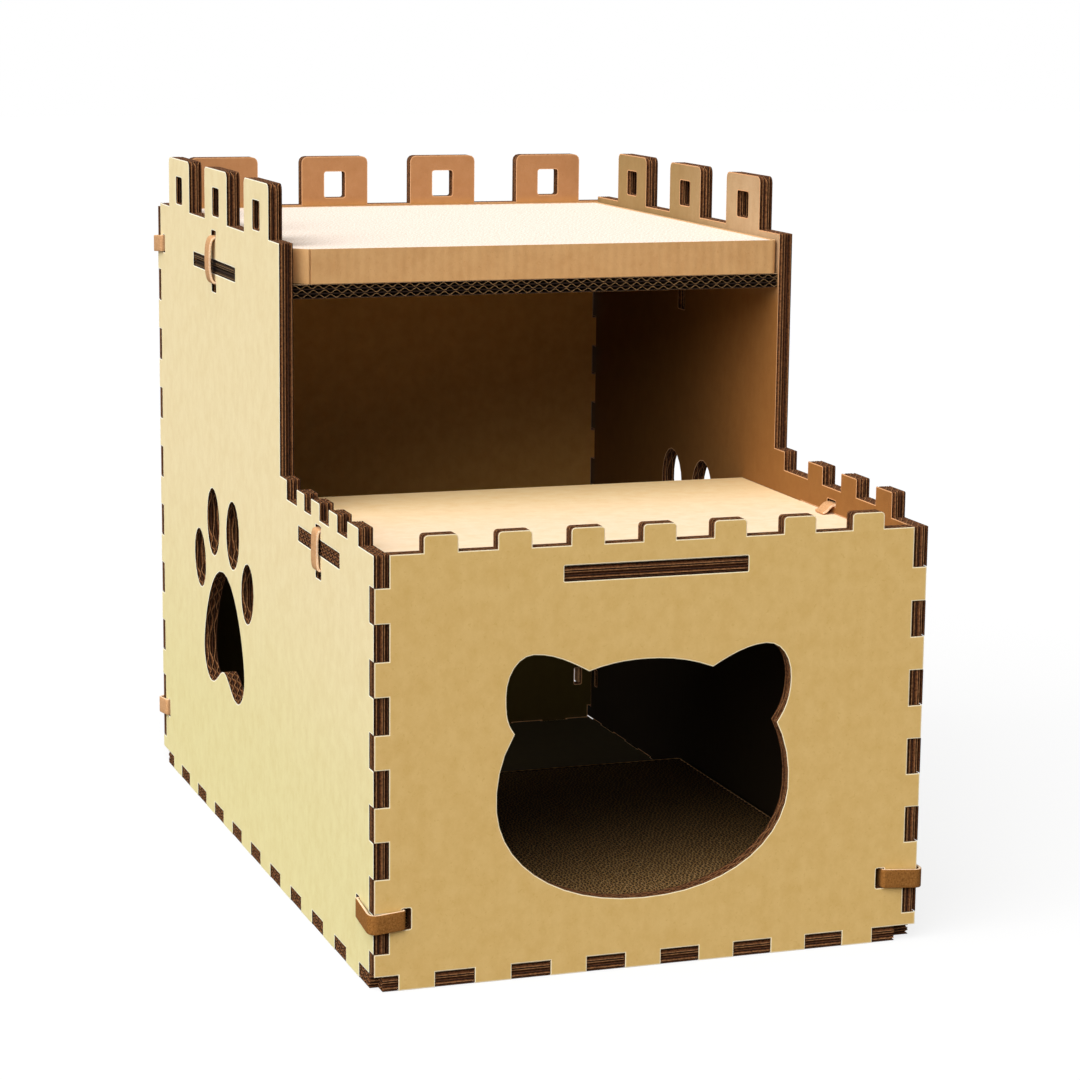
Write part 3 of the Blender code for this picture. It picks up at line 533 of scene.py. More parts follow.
def as_mesh(name: str, shape: Shape) -> Mesh:
    """Turn a shape into a mesh, and free the shape.

    Args:
        name: the mesh's name.
        shape: the shape.

    Returns:
        The mesh.
    """
    mesh = bpy.data.meshes.new(name)
    shape.to_mesh(mesh)
    shape.free()
    return mesh


def helper_object(name: str, shape: Shape) -> bpy.types.Object:
    """Put a shape into a temporary object, and free the shape.

    Args:
        name: the object's name.
        shape: the shape.

    Returns:
        The object.
    """
    helper = bpy.data.objects.new(name, as_mesh(name, shape))
    bpy.context.scene.collection.objects.link(helper)
    return helper


def extruded(shape: Shape, edges: list[bmesh.types.BMEdge], move: Vector) -> list[bmesh.types.BMEdge]:
    """Extrude edges into faces.

    Args:
        shape: the shape.
        edges: the edges.
        move: the faces' height and direction.

    Returns:
        The new edges at the faces' far side.
    """
    made = bmesh.ops.extrude_edge_only(shape, edges=edges)["geom"]
    verts = [item for item in made if isinstance(item, bmesh.types.BMVert)]
    bmesh.ops.translate(shape, vec=move, verts=verts)
    far = set(verts)
    return [item for item in made if isinstance(item, bmesh.types.BMEdge) and far.issuperset(item.verts)]


class Layer(Enum):
    """The material slots of a board."""

    OUTER = 0
    INNER = 1
    OUTER_RIM = 2
    INNER_RIM = 3
    BURNT = 4
    MEDIUM = 5
    MEDIUM_END = 6


@dataclass
class CorrugatedBoard:
    """A laser-cut sheet of three-wall corrugated board: four liners with three fluted sheets between them."""

    node: str
    through: Axis
    flutes_run: Axis
    outer_is_low: bool
    finishes: list[Material]
    phases: tuple[float, float, float] = (0.0, 2.1, 4.4)
    slot: str = "kraft_board"
    liner: float = 0.0006
    # Real medium is 0.25 mm thick, which would not show at this distance.
    medium: float = 0.0005
    pitch: float = 0.0087
    steps: int = 8
    rim: float = 0.0007
    rim_drop: float = 0.00012
    # The fluted sheets stay that far off the liners, and start that far outside the outline.
    play: float = 0.00002
    margin: float = 0.004
    # Faces that turn less than this, in radians, are one face of the solid.
    flat_angle: float = 0.002

    def solid(self) -> Shape:
        """Copy the board's CAD solid and join its loose triangles into whole faces.

        Returns:
            The copy.
        """
        shape = bmesh.new()
        shape.from_mesh(frame["nodes"][self.node].data)
        bmesh.ops.remove_doubles(shape, verts=shape.verts, dist=MERGE_DISTANCE)
        bmesh.ops.dissolve_limit(
            shape, angle_limit=self.flat_angle, verts=shape.verts, edges=shape.edges
        )
        return shape

    def span(self) -> tuple[float, float]:
        """Return where the board's two faces are along its thickness."""
        low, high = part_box(self.node)
        return low[self.through.value], high[self.through.value]

    def add_liner(self, board: Shape, number: int) -> None:
        """Add one liner, the CAD outline at a liner's thickness.

        Args:
            board: the mesh that gets it.
            number: 0 for the liner at the low face, up to 3 for the one at the high face.
        """
        axis = self.through.value
        low, high = self.span()
        thickness = high - low
        base = low + number * (thickness - self.liner) / 3
        plate = self.solid()
        flat = Matrix.Identity(4)
        flat[axis][axis] = self.liner / thickness
        flat[axis][3] = base - low * self.liner / thickness
        bmesh.ops.transform(plate, matrix=flat, verts=plate.verts)
        plate.normal_update()
        for face in plate.faces:
            face.material_index = (Layer.MEDIUM if abs(face.normal[axis]) > FACING else Layer.BURNT).value
        if number in (0, 3):
            self.dress_face(plate, -1 if number == 0 else 1)
        mesh = as_mesh("liner", plate)
        board.from_mesh(mesh)
        bpy.data.meshes.remove(mesh)

    def dress_face(self, plate: Shape, side: int) -> None:
        """Give a liner its outward face, with a narrow rim along every cut.

        Args:
            plate: the liner.
            side: -1 where it faces down its axis, 1 where it faces up it.
        """
        axis = self.through.value
        is_outer = (side < 0) == self.outer_is_low
        faces = [face for face in plate.faces if face.normal[axis] * side > FACING]
        for face in faces:
            face.material_index = (Layer.OUTER if is_outer else Layer.INNER).value
        rim = bmesh.ops.inset_region(
            plate, faces=faces, thickness=self.rim, use_boundary=True, use_even_offset=True
        )["faces"]
        kept = {vertex for face in faces for vertex in face.verts}
        for face in rim:
            face.material_index = (Layer.OUTER_RIM if is_outer else Layer.INNER_RIM).value
        edge = {vertex for face in rim for vertex in face.verts} - kept
        drop = Vector((0.0, 0.0, 0.0))
        drop[axis] = -side * self.rim_drop
        bmesh.ops.translate(plate, vec=drop, verts=list(edge))

    def flutes(self) -> Mesh:
        """Make the three fluted sheets, cut to the board's outline.

        Returns:
            Their mesh.
        """
        across = next(axis for axis in Axis if axis not in (self.through, self.flutes_run)).value
        along, axis = self.flutes_run.value, self.through.value
        low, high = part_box(self.node)
        length = high[across] - low[across] + 2 * self.margin
        run = high[along] - low[along] + 2 * self.margin
        count = int(length / self.pitch * self.steps)
        room = (high[axis] - low[axis] - 4 * self.liner) / 3
        swing = (room - self.medium) / 2 - self.play
        sheets = bmesh.new()
        for number, phase in enumerate(self.phases):
            level = low[axis] + self.liner + room / 2 + number * (room + self.liner)
            made = bmesh.ops.create_grid(sheets, x_segments=count, y_segments=1, size=0.5)["verts"]
            for vertex in made:
                place = vertex.co.copy()
                vertex.co[across] = low[across] - self.margin + (place.x + 0.5) * length
                vertex.co[along] = low[along] - self.margin + (place.y + 0.5) * run
                angle = 2 * math.pi * vertex.co[across] / self.pitch + phase
                vertex.co[axis] = level + swing * math.sin(angle)
        sheet = helper_object("sheets", sheets)
        thick = sheet.modifiers.new("thickness", "SOLIDIFY")
        thick.thickness = self.medium
        thick.offset = 0.0
        cutter = helper_object("cutter", self.solid())
        cut = sheet.modifiers.new("outline", "BOOLEAN")
        cut.operation = "INTERSECT"
        cut.solver = "EXACT"
        cut.object = cutter
        mesh = evaluated(sheet)
        bpy.data.objects.remove(cutter, do_unlink=True)
        return mesh

    def build(self) -> None:
        """Make the board and put it in its node's place."""
        board = bmesh.new()
        for number in range(4):
            self.add_liner(board, number)
        plain = set(board.faces)
        board.from_mesh(self.flutes())
        for face in board.faces:
            if face not in plain:
                is_end = abs(face.normal[self.through.value]) < ON_EDGE
                face.material_index = (Layer.MEDIUM_END if is_end else Layer.MEDIUM).value
        name = self.node + "_sheet"
        add_piece(as_mesh(name, board), self.finishes, name, "house", self.node)


@dataclass
class Strap:
    """A soft strap laced through two slots of the boards, with rounded and paler edges."""

    node: str
    finishes: list[Material]
    on_right: bool
    _: KW_ONLY
    thickness: float = 0.0022
    width: float = 0.0136
    # How deep its ends go into their slots, and how far it stays off the boards.
    depth: float = 0.0082
    gap: float = 0.0003
    rows: int = 4
    edge_round: float = 0.0006
    edge_segments: int = 3
    edge_degrees: float = 50.0
    # The pale edge is where that share of a face's normal points across the strap.
    edge_share: float = 0.75

    def lace(self, path: list[Vector], across: Vector) -> None:
        """Make the strap along a path and put it in its node's place.

        Args:
            path: the points that its middle follows.
            across: the direction of its width.
        """
        shape = bmesh.new()
        lowest = [shape.verts.new(point - across * self.width / 2) for point in path]
        edges = [shape.edges.new(pair) for pair in zip(lowest, lowest[1:])]
        for _ in range(self.rows):
            edges = extruded(shape, edges, across * self.width / self.rows)
        bmesh.ops.recalc_face_normals(shape, faces=shape.faces)
        strap = helper_object(self.node + "_strap", shape)
        thick = strap.modifiers.new("thickness", "SOLIDIFY")
        thick.thickness = self.thickness
        thick.offset = 0.0
        thick.use_even_offset = True
        soft = strap.modifiers.new("edges", "BEVEL")
        soft.width = self.edge_round
        soft.segments = self.edge_segments
        soft.limit_method = "ANGLE"
        soft.angle_limit = math.radians(self.edge_degrees)
        mesh = evaluated(strap)
        for polygon in mesh.polygons:
            polygon.use_smooth = True
            polygon.material_index = int(abs(polygon.normal.dot(across)) > self.edge_share)
        add_piece(mesh, self.finishes, self.node + "_strap", "house", self.node)


def bent(corners: list[Vector], radii: list[float], steps: int = 8) -> list[Vector]:
    """Round the inner corners of an open path.

    Args:
        corners: the path's corners.
        radii: each corner's radius, 0 where it stays sharp.
        steps: the straight pieces in each bend.

    Returns:
        The path's points.
    """
    points = []
    for index, (corner, radius) in enumerate(zip(corners, radii)):
        if radius <= 0:
            points.append(corner)
            continue
        before = (corners[index - 1] - corner).normalized()
        after = (corners[index + 1] - corner).normalized()
        opening = before.angle(after)
        centre = corner + radius / math.sin(opening / 2) * (before + after).normalized()
        start = corner + radius / math.tan(opening / 2) * before - centre
        end = corner + radius / math.tan(opening / 2) * after - centre
        sweep = math.pi - opening
        for step in range(steps + 1):
            turned = sweep * step / steps
            spoke = (start * math.sin(sweep - turned) + end * math.sin(turned)) / math.sin(sweep)
            points.append(centre + spoke)
    return points


@dataclass
class CornerBand(Strap):
    """A band round an upright corner of the house, its two ends laced through slots."""

    at_rear: bool
    cross_slot: float
    side_slot: float
    _: KW_ONLY
    corner_bulge: float = 0.0033
    corner_round: float = 0.0058
    mouth_bulge: float = 0.0016
    mouth_round: float = 0.0015
    sag: float = 0.0020

    def build(self) -> None:
        """Make the band where its solid is."""
        low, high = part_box(self.node)
        middle = (low.z + high.z) / 2
        corner_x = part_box("right_board")[1].x if self.on_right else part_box("left_board")[0].x
        corner_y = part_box("back_board")[1].y if self.at_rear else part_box("front_board")[0].y
        inward_x = -1.0 if self.on_right else 1.0
        inward_y = -1.0 if self.at_rear else 1.0
        across = self.cross_slot + self.gap + self.thickness / 2
        along = self.side_slot + self.gap + self.thickness / 2
        flat = [
            (across, self.depth), (across, -self.mouth_bulge), (-self.corner_bulge, -self.corner_bulge),
            (-self.mouth_bulge, along), (self.depth, along),
        ]
        corners = [Vector((corner_x + inward_x * x, corner_y + inward_y * y, middle)) for x, y in flat]
        path = bent(corners, [0.0, self.mouth_round, self.corner_round, self.mouth_round, 0.0])
        upright = Vector((0.0, 0.0, 1.0))
        reach = (across + along) / 2
        sags = [self.sag * max(0.0, 1.0 - (point - corners[2]).length / reach) for point in path]
        self.lace([point - upright * sag for point, sag in zip(path, sags)], upright)


def curved(
    start: Vector, start_handle: Vector, end_handle: Vector, end: Vector, steps: int = 12
) -> list[Vector]:
    """Follow a Bezier curve.

    Args:
        start, start_handle, end_handle, end: its two ends and their handles.
        steps: the straight pieces.

    Returns:
        The curve's points without the last one.
    """
    points = []
    for step in range(steps):
        share = step / steps
        rest = 1 - share
        points.append(
            start * rest**3 + start_handle * 3 * rest**2 * share
            + end_handle * 3 * rest * share**2 + end * share**3
        )
    return points


@dataclass
class Tie(Strap):
    """A short strap that holds a shelf's tab against a side board, in at a slot above and at one below."""

    upper: float
    lower: float
    bulge: float
    flap: float = 0.0
    flap_level: float = 0.0
    _: KW_ONLY
    board: float = 0.0106
    # The Bezier handles' lengths, as shares of the flap, the bulge and the span, and the mouth's own.
    flap_start: float = 0.45
    flap_end: float = 0.40
    mouth_share: float = 0.5
    mouth_length: float = 0.0010
    crest_share: float = 0.30

    def build(self) -> None:
        """Make the tie where its solid is."""
        low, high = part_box(self.node)
        middle_y = (low.y + high.y) / 2
        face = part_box("right_board")[1].x if self.on_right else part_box("left_board")[0].x
        inward = -1.0 if self.on_right else 1.0

        def at(x: float, z: float) -> Vector:
            """Return a point of the tie's plane, x being measured inwards from the board's face."""
            return Vector((face + inward * x, middle_y, z))

        path = []
        if self.flap:
            end_level = self.flap_level + self.gap + self.thickness / 2
            reach = self.board + self.flap
            bend = self.board + 2 * self.gap
            path += curved(
                at(reach, end_level), at(reach - self.flap_start * self.flap, end_level),
                at(bend + self.flap_end * self.flap, self.upper), at(bend, self.upper),
            )
            path.append(at(bend, self.upper))
        else:
            path.append(at(self.depth, self.upper))
        outside = self.mouth_share * self.bulge + self.mouth_length
        handle = self.crest_share * (self.upper - self.lower)
        crest = (self.upper + self.lower) / 2
        path += curved(
            at(-self.gap, self.upper), at(-self.gap - outside, self.upper),
            at(-self.bulge, crest + handle), at(-self.bulge, crest),
        )
        path += curved(
            at(-self.bulge, crest), at(-self.bulge, crest - handle),
            at(-self.gap - outside, self.lower), at(-self.gap, self.lower),
        )
        path += [at(-self.gap, self.lower), at(self.depth, self.lower)]
        self.lace(path, Vector((0.0, 1.0, 0.0)))


@dataclass
class ScratcherPad:
    """A block of board strips glued on edge, with a belt of single-faced board round it."""

    name: str
    finishes: list[Material]
    front_fold: float
    fold_steps: int
    other_round: float = 0.004
    other_steps: int = 6
    belt: float = 0.0024
    liner: float = 0.0007
    medium: float = 0.0004
    medium_drop: float = 0.0003
    pitch: float = 0.0072
    washboard: float = 0.00005
    steps: int = 8
    seam_offset: float = 0.0004
    seam_width: float = 0.0016
    seam_depth: float = 0.0014
    seam_slope: float = 0.2
    least_round: float = 0.0002
    core_rim: float = 0.0010

    def outline(self, inset: float) -> list[Vector]:
        """Return the belt's outline in plan, that far inside its outer face.

        Args:
            inset: the distance from the outer face.

        Returns:
            The points, at a height of 0.
        """
        low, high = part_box(self.name + "_wrap")
        # The belt's end laps over its start just beside the front left corner, which leaves a narrow groove.
        seam_start = Vector((low.x + self.front_fold + self.seam_offset, low.y + inset, 0.0))
        slope = self.seam_slope * self.seam_width
        groove = (
            (0.0, 0.0), (slope, self.seam_depth), (self.seam_width - slope, self.seam_depth),
            (self.seam_width, 0.0),
        )
        seam = [seam_start + Vector((x, y, 0.0)) for x, y in groove]
        # The corners from the front left one on, each with the way that its centre lies.
        corners = (
            (low.x, low.y, 1, 1), (high.x, low.y, -1, 1), (high.x, high.y, -1, -1), (low.x, high.y, 1, -1)
        )
        points = []
        for number, (x, y, sign_x, sign_y) in enumerate(corners):
            radius = self.other_round if number else self.front_fold
            count = self.other_steps if number else self.fold_steps
            centre = Vector((x + sign_x * radius, y + sign_y * radius, 0.0))
            start = math.atan2(-sign_y, -sign_x) - math.pi / 4
            reach = max(radius - inset, self.least_round)
            for step in range(count + 1):
                angle = start + math.pi / 2 * step / count
                points.append(centre + Vector((math.cos(angle), math.sin(angle), 0.0)) * reach)
            if not number:
                points += seam
        return points

    def rippled(self, inset: float, swing: float, phase: float) -> list[Vector]:
        """Return an outline that swings in and out once per flute.

        Args:
            inset: the outline's distance from the outer face.
            swing: how far it swings to either side.
            phase: where in a flute it starts, in radians.

        Returns:
            The points, at a height of 0.
        """
        corners = self.outline(inset)
        even = []
        travelled = 0.0
        for index, point in enumerate(corners):
            following = corners[(index + 1) % len(corners)]
            length = (following - point).length
            along = (following - point).normalized()
            outward = Vector((along.y, -along.x, 0.0))
            count = max(1, int(length / (self.pitch / self.steps)))
            for step in range(count):
                share = length * step / count
                angle = 2 * math.pi * (travelled + share) / self.pitch + phase
                even.append(point + along * share + outward * swing * math.sin(angle))
            travelled += length
        return even

    def ring(self, points: list[Vector], thickness: float, low: float, high: float) -> Mesh:
        """Return an upright closed ring of paper that follows the points.

        Args:
            points: the points that the paper's middle follows.
            thickness: the paper's thickness.
            low: the level of its lower edge.
            high: the level of its upper edge.

        Returns:
            The ring's mesh.
        """
        shape = bmesh.new()
        verts = [shape.verts.new((point.x, point.y, low)) for point in points]
        edges = [shape.edges.new(pair) for pair in zip(verts, verts[1:] + verts[:1])]
        extruded(shape, edges, Vector((0.0, 0.0, high - low)))
        bmesh.ops.recalc_face_normals(shape, faces=shape.faces)
        paper = helper_object("paper", shape)
        thick = paper.modifiers.new("thickness", "SOLIDIFY")
        thick.thickness = thickness
        thick.offset = 0.0
        return evaluated(paper)

    def build_belt(self) -> None:
        """Make the belt, a liner with a fluted sheet behind it."""
        low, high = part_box(self.name + "_wrap")
        liner = self.ring(
            self.rippled(self.liner / 2 + self.washboard, self.washboard, 0.0), self.liner, low.z, high.z
        )
        room = self.belt - self.liner - 2 * self.washboard
        middle = self.liner + 2 * self.washboard + room / 2
        wave = self.ring(
            self.rippled(middle, (room - self.medium) / 2, math.pi), self.medium, low.z,
            high.z - self.medium_drop,
        )
        belt = bmesh.new()
        belt.from_mesh(liner)
        for face in belt.faces:
            face.material_index = int(abs(face.normal.z) > FACING)
        plain = set(belt.faces)
        belt.from_mesh(wave)
        for face in belt.faces:
            if face not in plain:
                face.material_index = 1
        name = self.name + "_belt"
        add_piece(as_mesh(name, belt), self.finishes[:2], name, self.name, self.name + "_wrap")

    def build_core(self) -> None:
        """Make the block of strips, whose top has a plain margin by the belt."""
        core = bmesh.new()
        core.from_mesh(frame["nodes"][self.name + "_core"].data)
        bmesh.ops.remove_doubles(core, verts=core.verts, dist=MERGE_DISTANCE)
        core.normal_update()
        top = [face for face in core.faces if face.normal.z > FACING]
        for face in core.faces:
            face.material_index = int(abs(face.normal.z) <= FACING)
        bmesh.ops.inset_region(
            core, faces=top, thickness=self.core_rim, depth=0.0, use_boundary=True, use_even_offset=True
        )
        name = self.name + "_strips"
        _, sides, top_face = self.finishes
        add_piece(
            as_mesh(name, core), [top_face, sides], name, self.name, self.name + "_core"
        )

    def build(self) -> None:
        """Make the belt and the core where their solids are."""
        self.build_belt()
        self.build_core()


@dataclass(frozen=True)
class Studio:
    """The floor, the soft light and the camera."""

    azimuth: float = -19.27
    elevation: float = 10.51
    roll: float = 0.62
    lens: float = 101.85
    sensor: float = 36.0
    clip: tuple[float, float] = (0.05, 50.0)
    place: tuple[float, float, float] = (-0.7519, -2.2342, 0.6804)
    key_from: tuple[float, float, float] = (-0.73, -0.53, 0.93)
    key_level: float = 1.43
    key_softness: float = 75.0
    ambient: float = 0.19
    # The camera sees a white floor, and the object gets little light back from it.
    floor_seen: str = "#f4f4f4"
    floor_unseen: str = "#767676"
    floor_glow: float = 0.8
    floor_size: float = 12.0
    floor_gap: float = 0.0004

    def add_camera(self) -> None:
        """Make the camera that sees the house as the photograph does."""
        camera = bpy.data.cameras.new("camera")
        camera.sensor_width = self.sensor
        camera.lens = self.lens
        camera.clip_start, camera.clip_end = self.clip
        eye = bpy.data.objects.new("camera", camera)
        bpy.context.scene.collection.objects.link(eye)
        turn, lift, roll = (math.radians(value) for value in (self.azimuth, self.elevation, self.roll))
        back = Vector((math.sin(turn) * math.cos(lift), -math.cos(turn) * math.cos(lift), math.sin(lift)))
        right = Vector((math.cos(turn), math.sin(turn), 0.0))
        up = back.cross(right)
        level_x = math.cos(roll) * right + math.sin(roll) * up
        level_y = -math.sin(roll) * right + math.cos(roll) * up
        turned = Matrix((level_x, level_y, back)).transposed().to_4x4()
        eye.matrix_world = Matrix.Translation(self.place) @ turned
        bpy.context.scene.camera = eye

    def add_light(self) -> None:
        """Make one large soft lamp and an even ambient light."""
        lamp = bpy.data.lights.new("soft_key", "SUN")
        lamp.energy = math.pi * self.key_level
        lamp.angle = math.radians(self.key_softness)
        key = bpy.data.objects.new("soft_key", lamp)
        bpy.context.scene.collection.objects.link(key)
        key.rotation_mode = "QUATERNION"
        key.rotation_quaternion = Vector(self.key_from).to_track_quat("Z", "Y")
        world = bpy.data.worlds.new("studio")
        bpy.context.scene.world = world
        world.use_nodes = True
        tree = world.node_tree
        tree.nodes.clear()
        rays = add_node(tree, "ShaderNodeLightPath").outputs
        seen = rays["Is Camera Ray"]
        for kind in ("Is Glossy Ray", "Is Transmission Ray"):
            either = add_node(tree, "ShaderNodeMath", {"operation": "MAXIMUM"}, {0: seen, 1: rays[kind]})
            seen = either.outputs[0]
        strength = add_node(
            tree, "ShaderNodeMapRange", {"To Min": self.ambient, "To Max": 1.0}, {"Value": seen}
        )
        sky = add_node(tree, "ShaderNodeBackground", {"Color": linear("#ffffff")}, {"Strength": strength})
        add_node(tree, "ShaderNodeOutputWorld", links={"Surface": sky})

    def add_floor(self) -> None:
        """Make a plain white floor that keeps a faint shadow."""
        shape = bmesh.new()
        bmesh.ops.create_grid(shape, x_segments=1, y_segments=1, size=self.floor_size)
        bmesh.ops.translate(shape, vec=(0.0, 0.0, -self.floor_gap), verts=shape.verts)
        floor = helper_object("floor", shape)
        material = bpy.data.materials.new("white_floor")
        material.use_nodes = True
        tree = material.node_tree
        tree.nodes.clear()
        camera_ray = add_node(tree, "ShaderNodeLightPath").outputs["Is Camera Ray"]
        colour = add_node(
            tree, "ShaderNodeMix",
            {"data_type": "RGBA", UNDER: linear(self.floor_unseen), OVER: linear(self.floor_seen)},
            {0: camera_ray},
        )
        paint = add_node(tree, "ShaderNodeBsdfDiffuse", links={"Color": colour.outputs[MIXED]})
        glow = add_node(tree, "ShaderNodeEmission", {"Color": linear("#ffffff"), "Strength": 1.0})
        share = add_node(
            tree, "ShaderNodeMath", {"operation": "MULTIPLY", 1: self.floor_glow}, {0: camera_ray}
        )
        mixed = add_node(tree, "ShaderNodeMixShader", links={0: share, 1: paint, 2: glow})
        add_node(tree, "ShaderNodeOutputMaterial", links={"Surface": mixed})
        floor.data.materials.append(material)

    def build(self) -> None:
        """Make the whole studio."""
        bpy.context.scene.view_settings.view_transform = "Standard"
        self.add_camera()
        self.add_light()
        self.add_floor()


class House:
    """The cat house: its boards, straps and pads."""

    def __init__(self) -> None:
        """Make the finishes that the pieces share."""
        burnt = CutPaper("laser_burnt_liner_end", "#200e06", "#0c0401").build()
        medium = CutPaper("fluting_medium", "#7c4b29", "#2c180b").build()
        medium_end = CutPaper("fluting_medium_cut_end", "#a8774c", "#664022").build()
        self.shaded_medium = CutPaper("shaded_fluting_medium", "#45301c", "#1e1309").build()
        shaded_end = CutPaper("shaded_fluting_cut_end", "#a07c52", "#573d22").build()
        self.cut = [burnt, medium, medium_end]
        self.shaded_cut = [burnt, self.shaded_medium, shaded_end]
        lifted = 0.6
        self.pale_rim = CutPaper("lifted_pale_rim", "#fcebc6", "#f4dcac", lifted).build()
        self.white_rim = CutPaper("lifted_white_rim", "#fff9e4", "#fff0cc", lifted).build()
        self.dull_rim = CutPaper("lifted_dull_rim", "#d3a074", "#c38c5c", lifted).build()
        self.warm_rim = CutPaper("lifted_warm_rim", "#ecc79b", "#dcb27c", lifted).build()

    def build_boards(self) -> None:
        """Make the seven boards."""
        front_kraft = ("#e0bb76", "#d3aa60", "#e9ca90")
        # Partly painted light: the side boards' outer paper is paler than the front's, partly for the
        # stronger light on the left faces.
        side_kraft_part_painted_light = ("#f0deb0", "#e6d09c", "#f5e8c4")
        inner_kraft = ("#b8804f", "#a8713f", "#c69468")
        back_kraft = ("#e6a757", "#d69648", "#eeb670")
        right_kraft = ("#ba9a75", "#ab8860", "#c5ab8a")
        deck_kraft = ("#f8dfbe", "#f0cea2", "#fbe8cf")
        # Painted shade: near-black paper for the boards that lie flat, the floor board, the shelf and the
        # deck's underside, which stand in the house's shade.
        painted_shade_kraft = ("#352c16", "#2b2311", "#40361f")
        up, along, across = Axis.UP, Axis.ALONG, Axis.ACROSS
        # Most tones here paint light and shade: the rooms' paper is painted darker than the walls' tops and
        # darkest below the deck, but the back wall brighter in the upper room.
        # Painted shade: the walls' inner paper goes dark in the lower room.
        lower_room_painted_shade = (up, 0.232, 0.195, "#4c5530")
        # Painted light: the back wall's paper is brighter in the upper room than on its merlons, which this
        # tone brings down.
        back_room_painted_light = (up, 0.47, 0.49, "#c3c0f0")
        # Painted shade: the right wall's paper darkens below its merlons.
        right_room_painted_shade = (up, 0.47, 0.43, "#c5a16b")
        # Painted shade: the right wall's paper darkens towards its rear.
        right_rear_painted_shade = (along, -0.06, 0.16, "#d0ccae")
        side_foot = (up, 0.30, 0.05, "#f6fcec")
        # Painted shade: the deck's paper darkens towards its rear, under the shelf.
        deck_rear_painted_shade = (along, -0.20, -0.03, "#fff6d7")
        papers = {
            "inner_kraft_flutes_up_x": (inner_kraft, up, across, (lower_room_painted_shade,)),
            "inner_kraft_flutes_up_y": (inner_kraft, up, along, (lower_room_painted_shade,)),
            "back_inner_kraft": (back_kraft, up, across, (back_room_painted_light, lower_room_painted_shade)),
            "right_inner_kraft": (
                right_kraft, up, along, (right_room_painted_shade, right_rear_painted_shade, lower_room_painted_shade)
            ),
            "front_kraft_liner": (front_kraft, up, across, ()),
            "side_liner_part_painted_light": (side_kraft_part_painted_light, up, along, (side_foot,)),
            "back_kraft_liner": (front_kraft, up, across, ()),
            "flat_kraft_painted_shade": (painted_shade_kraft, along, across, ()),
            "deck_kraft_liner": (deck_kraft, across, along, (deck_rear_painted_shade,)),
        }
        inner_x, inner_y, back_inner, right_inner, front, side, back, painted_shade_paper, deck = (
            KraftLiner(name, *colours, run, stripes, tones).build()
            for name, (colours, run, stripes, tones) in papers.items()
        )
        cut, warm, pale, dull, white = self.cut, self.warm_rim, self.pale_rim, self.dull_rim, self.white_rim
        boards = (
            CorrugatedBoard("front_board", along, up, True, [front, inner_x, pale, warm, *cut]),
            CorrugatedBoard("back_board", along, up, False, [back, back_inner, pale, dull, *cut]),
            CorrugatedBoard("left_board", across, up, True, [side, inner_y, white, warm, *cut]),
            CorrugatedBoard("right_board", across, up, False, [side, right_inner, white, dull, *cut]),
            CorrugatedBoard("floor_board", up, across, True, [painted_shade_paper, painted_shade_paper, warm, warm, *cut]),
            CorrugatedBoard("deck", up, across, False, [deck, painted_shade_paper, pale, warm, *cut], slot="pale_board"),
            # The shelf's flutes show as the photograph has them, in step and thin.
            CorrugatedBoard(
                "shelf", up, along, False, [painted_shade_paper, painted_shade_paper, warm, warm, *self.shaded_cut],
                phases=(0.0, math.pi, 0.6), medium=0.00035,
            ),
        )
        for board in boards:
            board.build()

    def build_straps(self) -> None:
        """Make the six corner bands and the four ties."""
        brown = [
            Webbing("brown_fibre_strap", "#925f29", "#6d4217", "#b18248").build(),
            Webbing("brown_strap_edge", "#ecceac", "#d6ad86", "#f8e2c8").build(),
        ]
        tan = [
            Webbing("tan_fibre_strap", "#cd9c6e", "#ad7c50", "#e2ba8e").build(),
            Webbing("tan_strap_edge", "#ecceae", "#d6ac86", "#f8e2c8").build(),
        ]
        # The slots' distances from their corner.
        front_left, front_right, side_front, side_rear, back = 0.0198, 0.0258, 0.0345, 0.0206, 0.0200
        CornerBand("band_front_left", brown, False, False, front_left, side_front).build()
        CornerBand("band_front_right", brown, True, False, front_right, side_front).build()
        for side, on_right in (("left", False), ("right", True)):
            for level in ("low", "high"):
                CornerBand(f"band_rear_{side}_{level}", tan, on_right, True, back, side_rear).build()
        # The levels at which the ties pass the boards' faces, and how far they stand off between.
        deck_upper, deck_lower, deck_bulge, deck_flap, deck_top = 0.2944, 0.2662, 0.0026, 0.0100, 0.2876
        for side, on_right in (("left", False), ("right", True)):
            Tie(
                f"deck_tie_{side}", tan, on_right, deck_upper, deck_lower, deck_bulge, deck_flap, deck_top
            ).build()
        shelf_upper, left_lower, right_lower, shelf_bulge = 0.4733, 0.4378, 0.4240, 0.0048
        Tie("shelf_tie_left", tan, False, shelf_upper, left_lower, shelf_bulge).build()
        Tie("shelf_tie_right", tan, True, shelf_upper, right_lower, shelf_bulge).build()

    def build_pads(self) -> None:
        """Make the two loose scratcher pads."""
        belt = KraftLiner(
            "belt_kraft_liner", "#cea16c", "#bd8d58", "#dab284", Axis.UP, Axis.ACROSS
        ).build()
        bright = FluteEnds(
            "pale_flute_ends", "#fdf1e6", "#fbecdf", "#f2e0ce", "#b39c7c", bump_strength=0.2
        ).build()
        # The lower pad is worn, and painted shade darkens it further in.
        dark = FluteEnds(
            "brown_flute_ends", "#c2965c", "#986e38", "#20170a", "#dcb880", row_mm=2.9, pitch_mm=6.6,
            painted_rear_shade=(-0.25, 0.02, "#86804c"),
        ).build()
        ScratcherPad("upper_pad", [belt, self.warm_rim, bright], front_fold=0.011, fold_steps=1).build()
        ScratcherPad("lower_pad", [belt, self.shaded_medium, dark], front_fold=0.004, fold_steps=6).build()

    def build(self) -> None:
        """Make every piece."""
        self.build_boards()
        self.build_straps()
        self.build_pads()


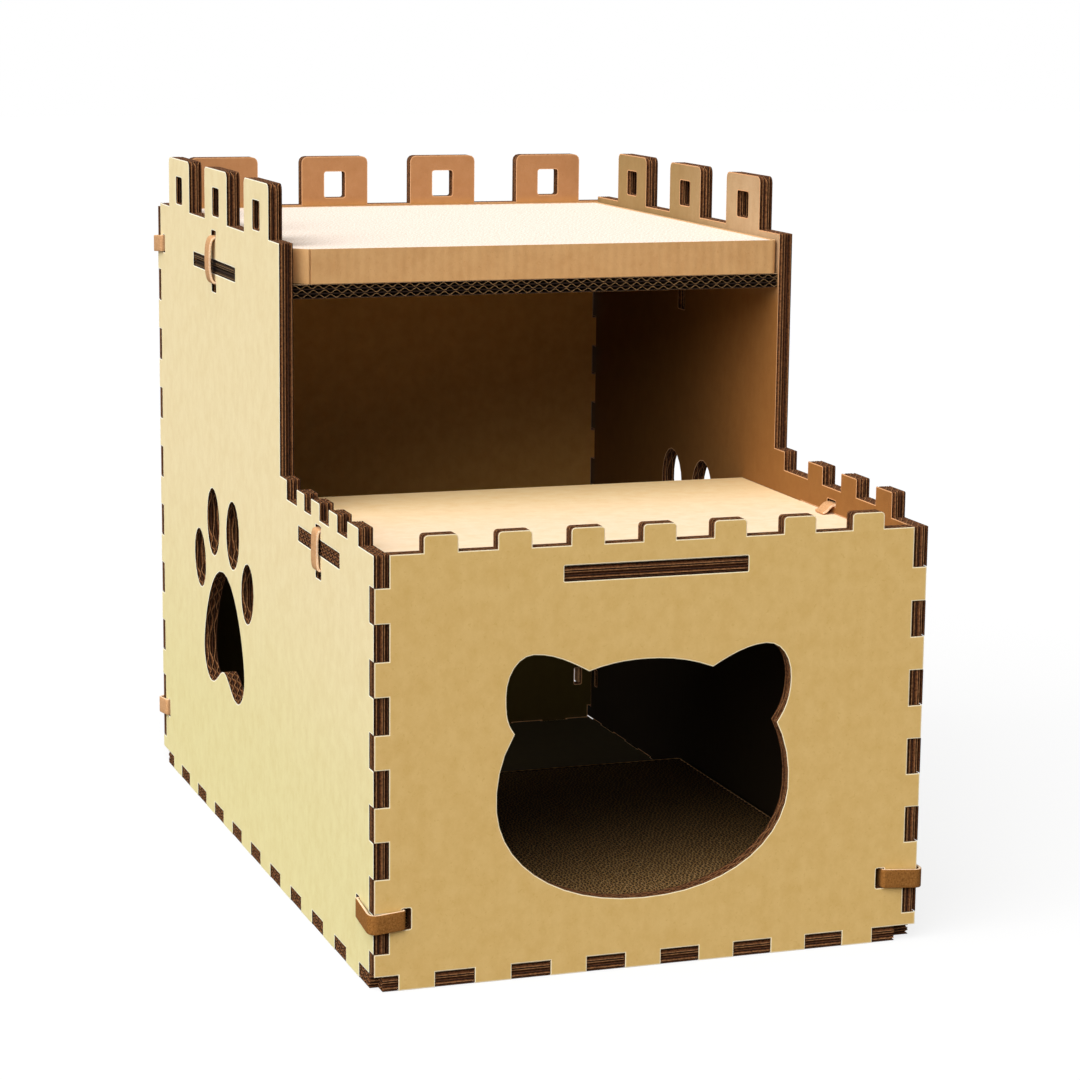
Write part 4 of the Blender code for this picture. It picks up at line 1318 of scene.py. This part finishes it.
def main() -> None:
    """Build the studio and the house, in order."""
    logging.basicConfig(level=logging.INFO, format="%(name)s: %(message)s")
    Studio().build()
    House().build()


if __name__ == "__main__":
    main()
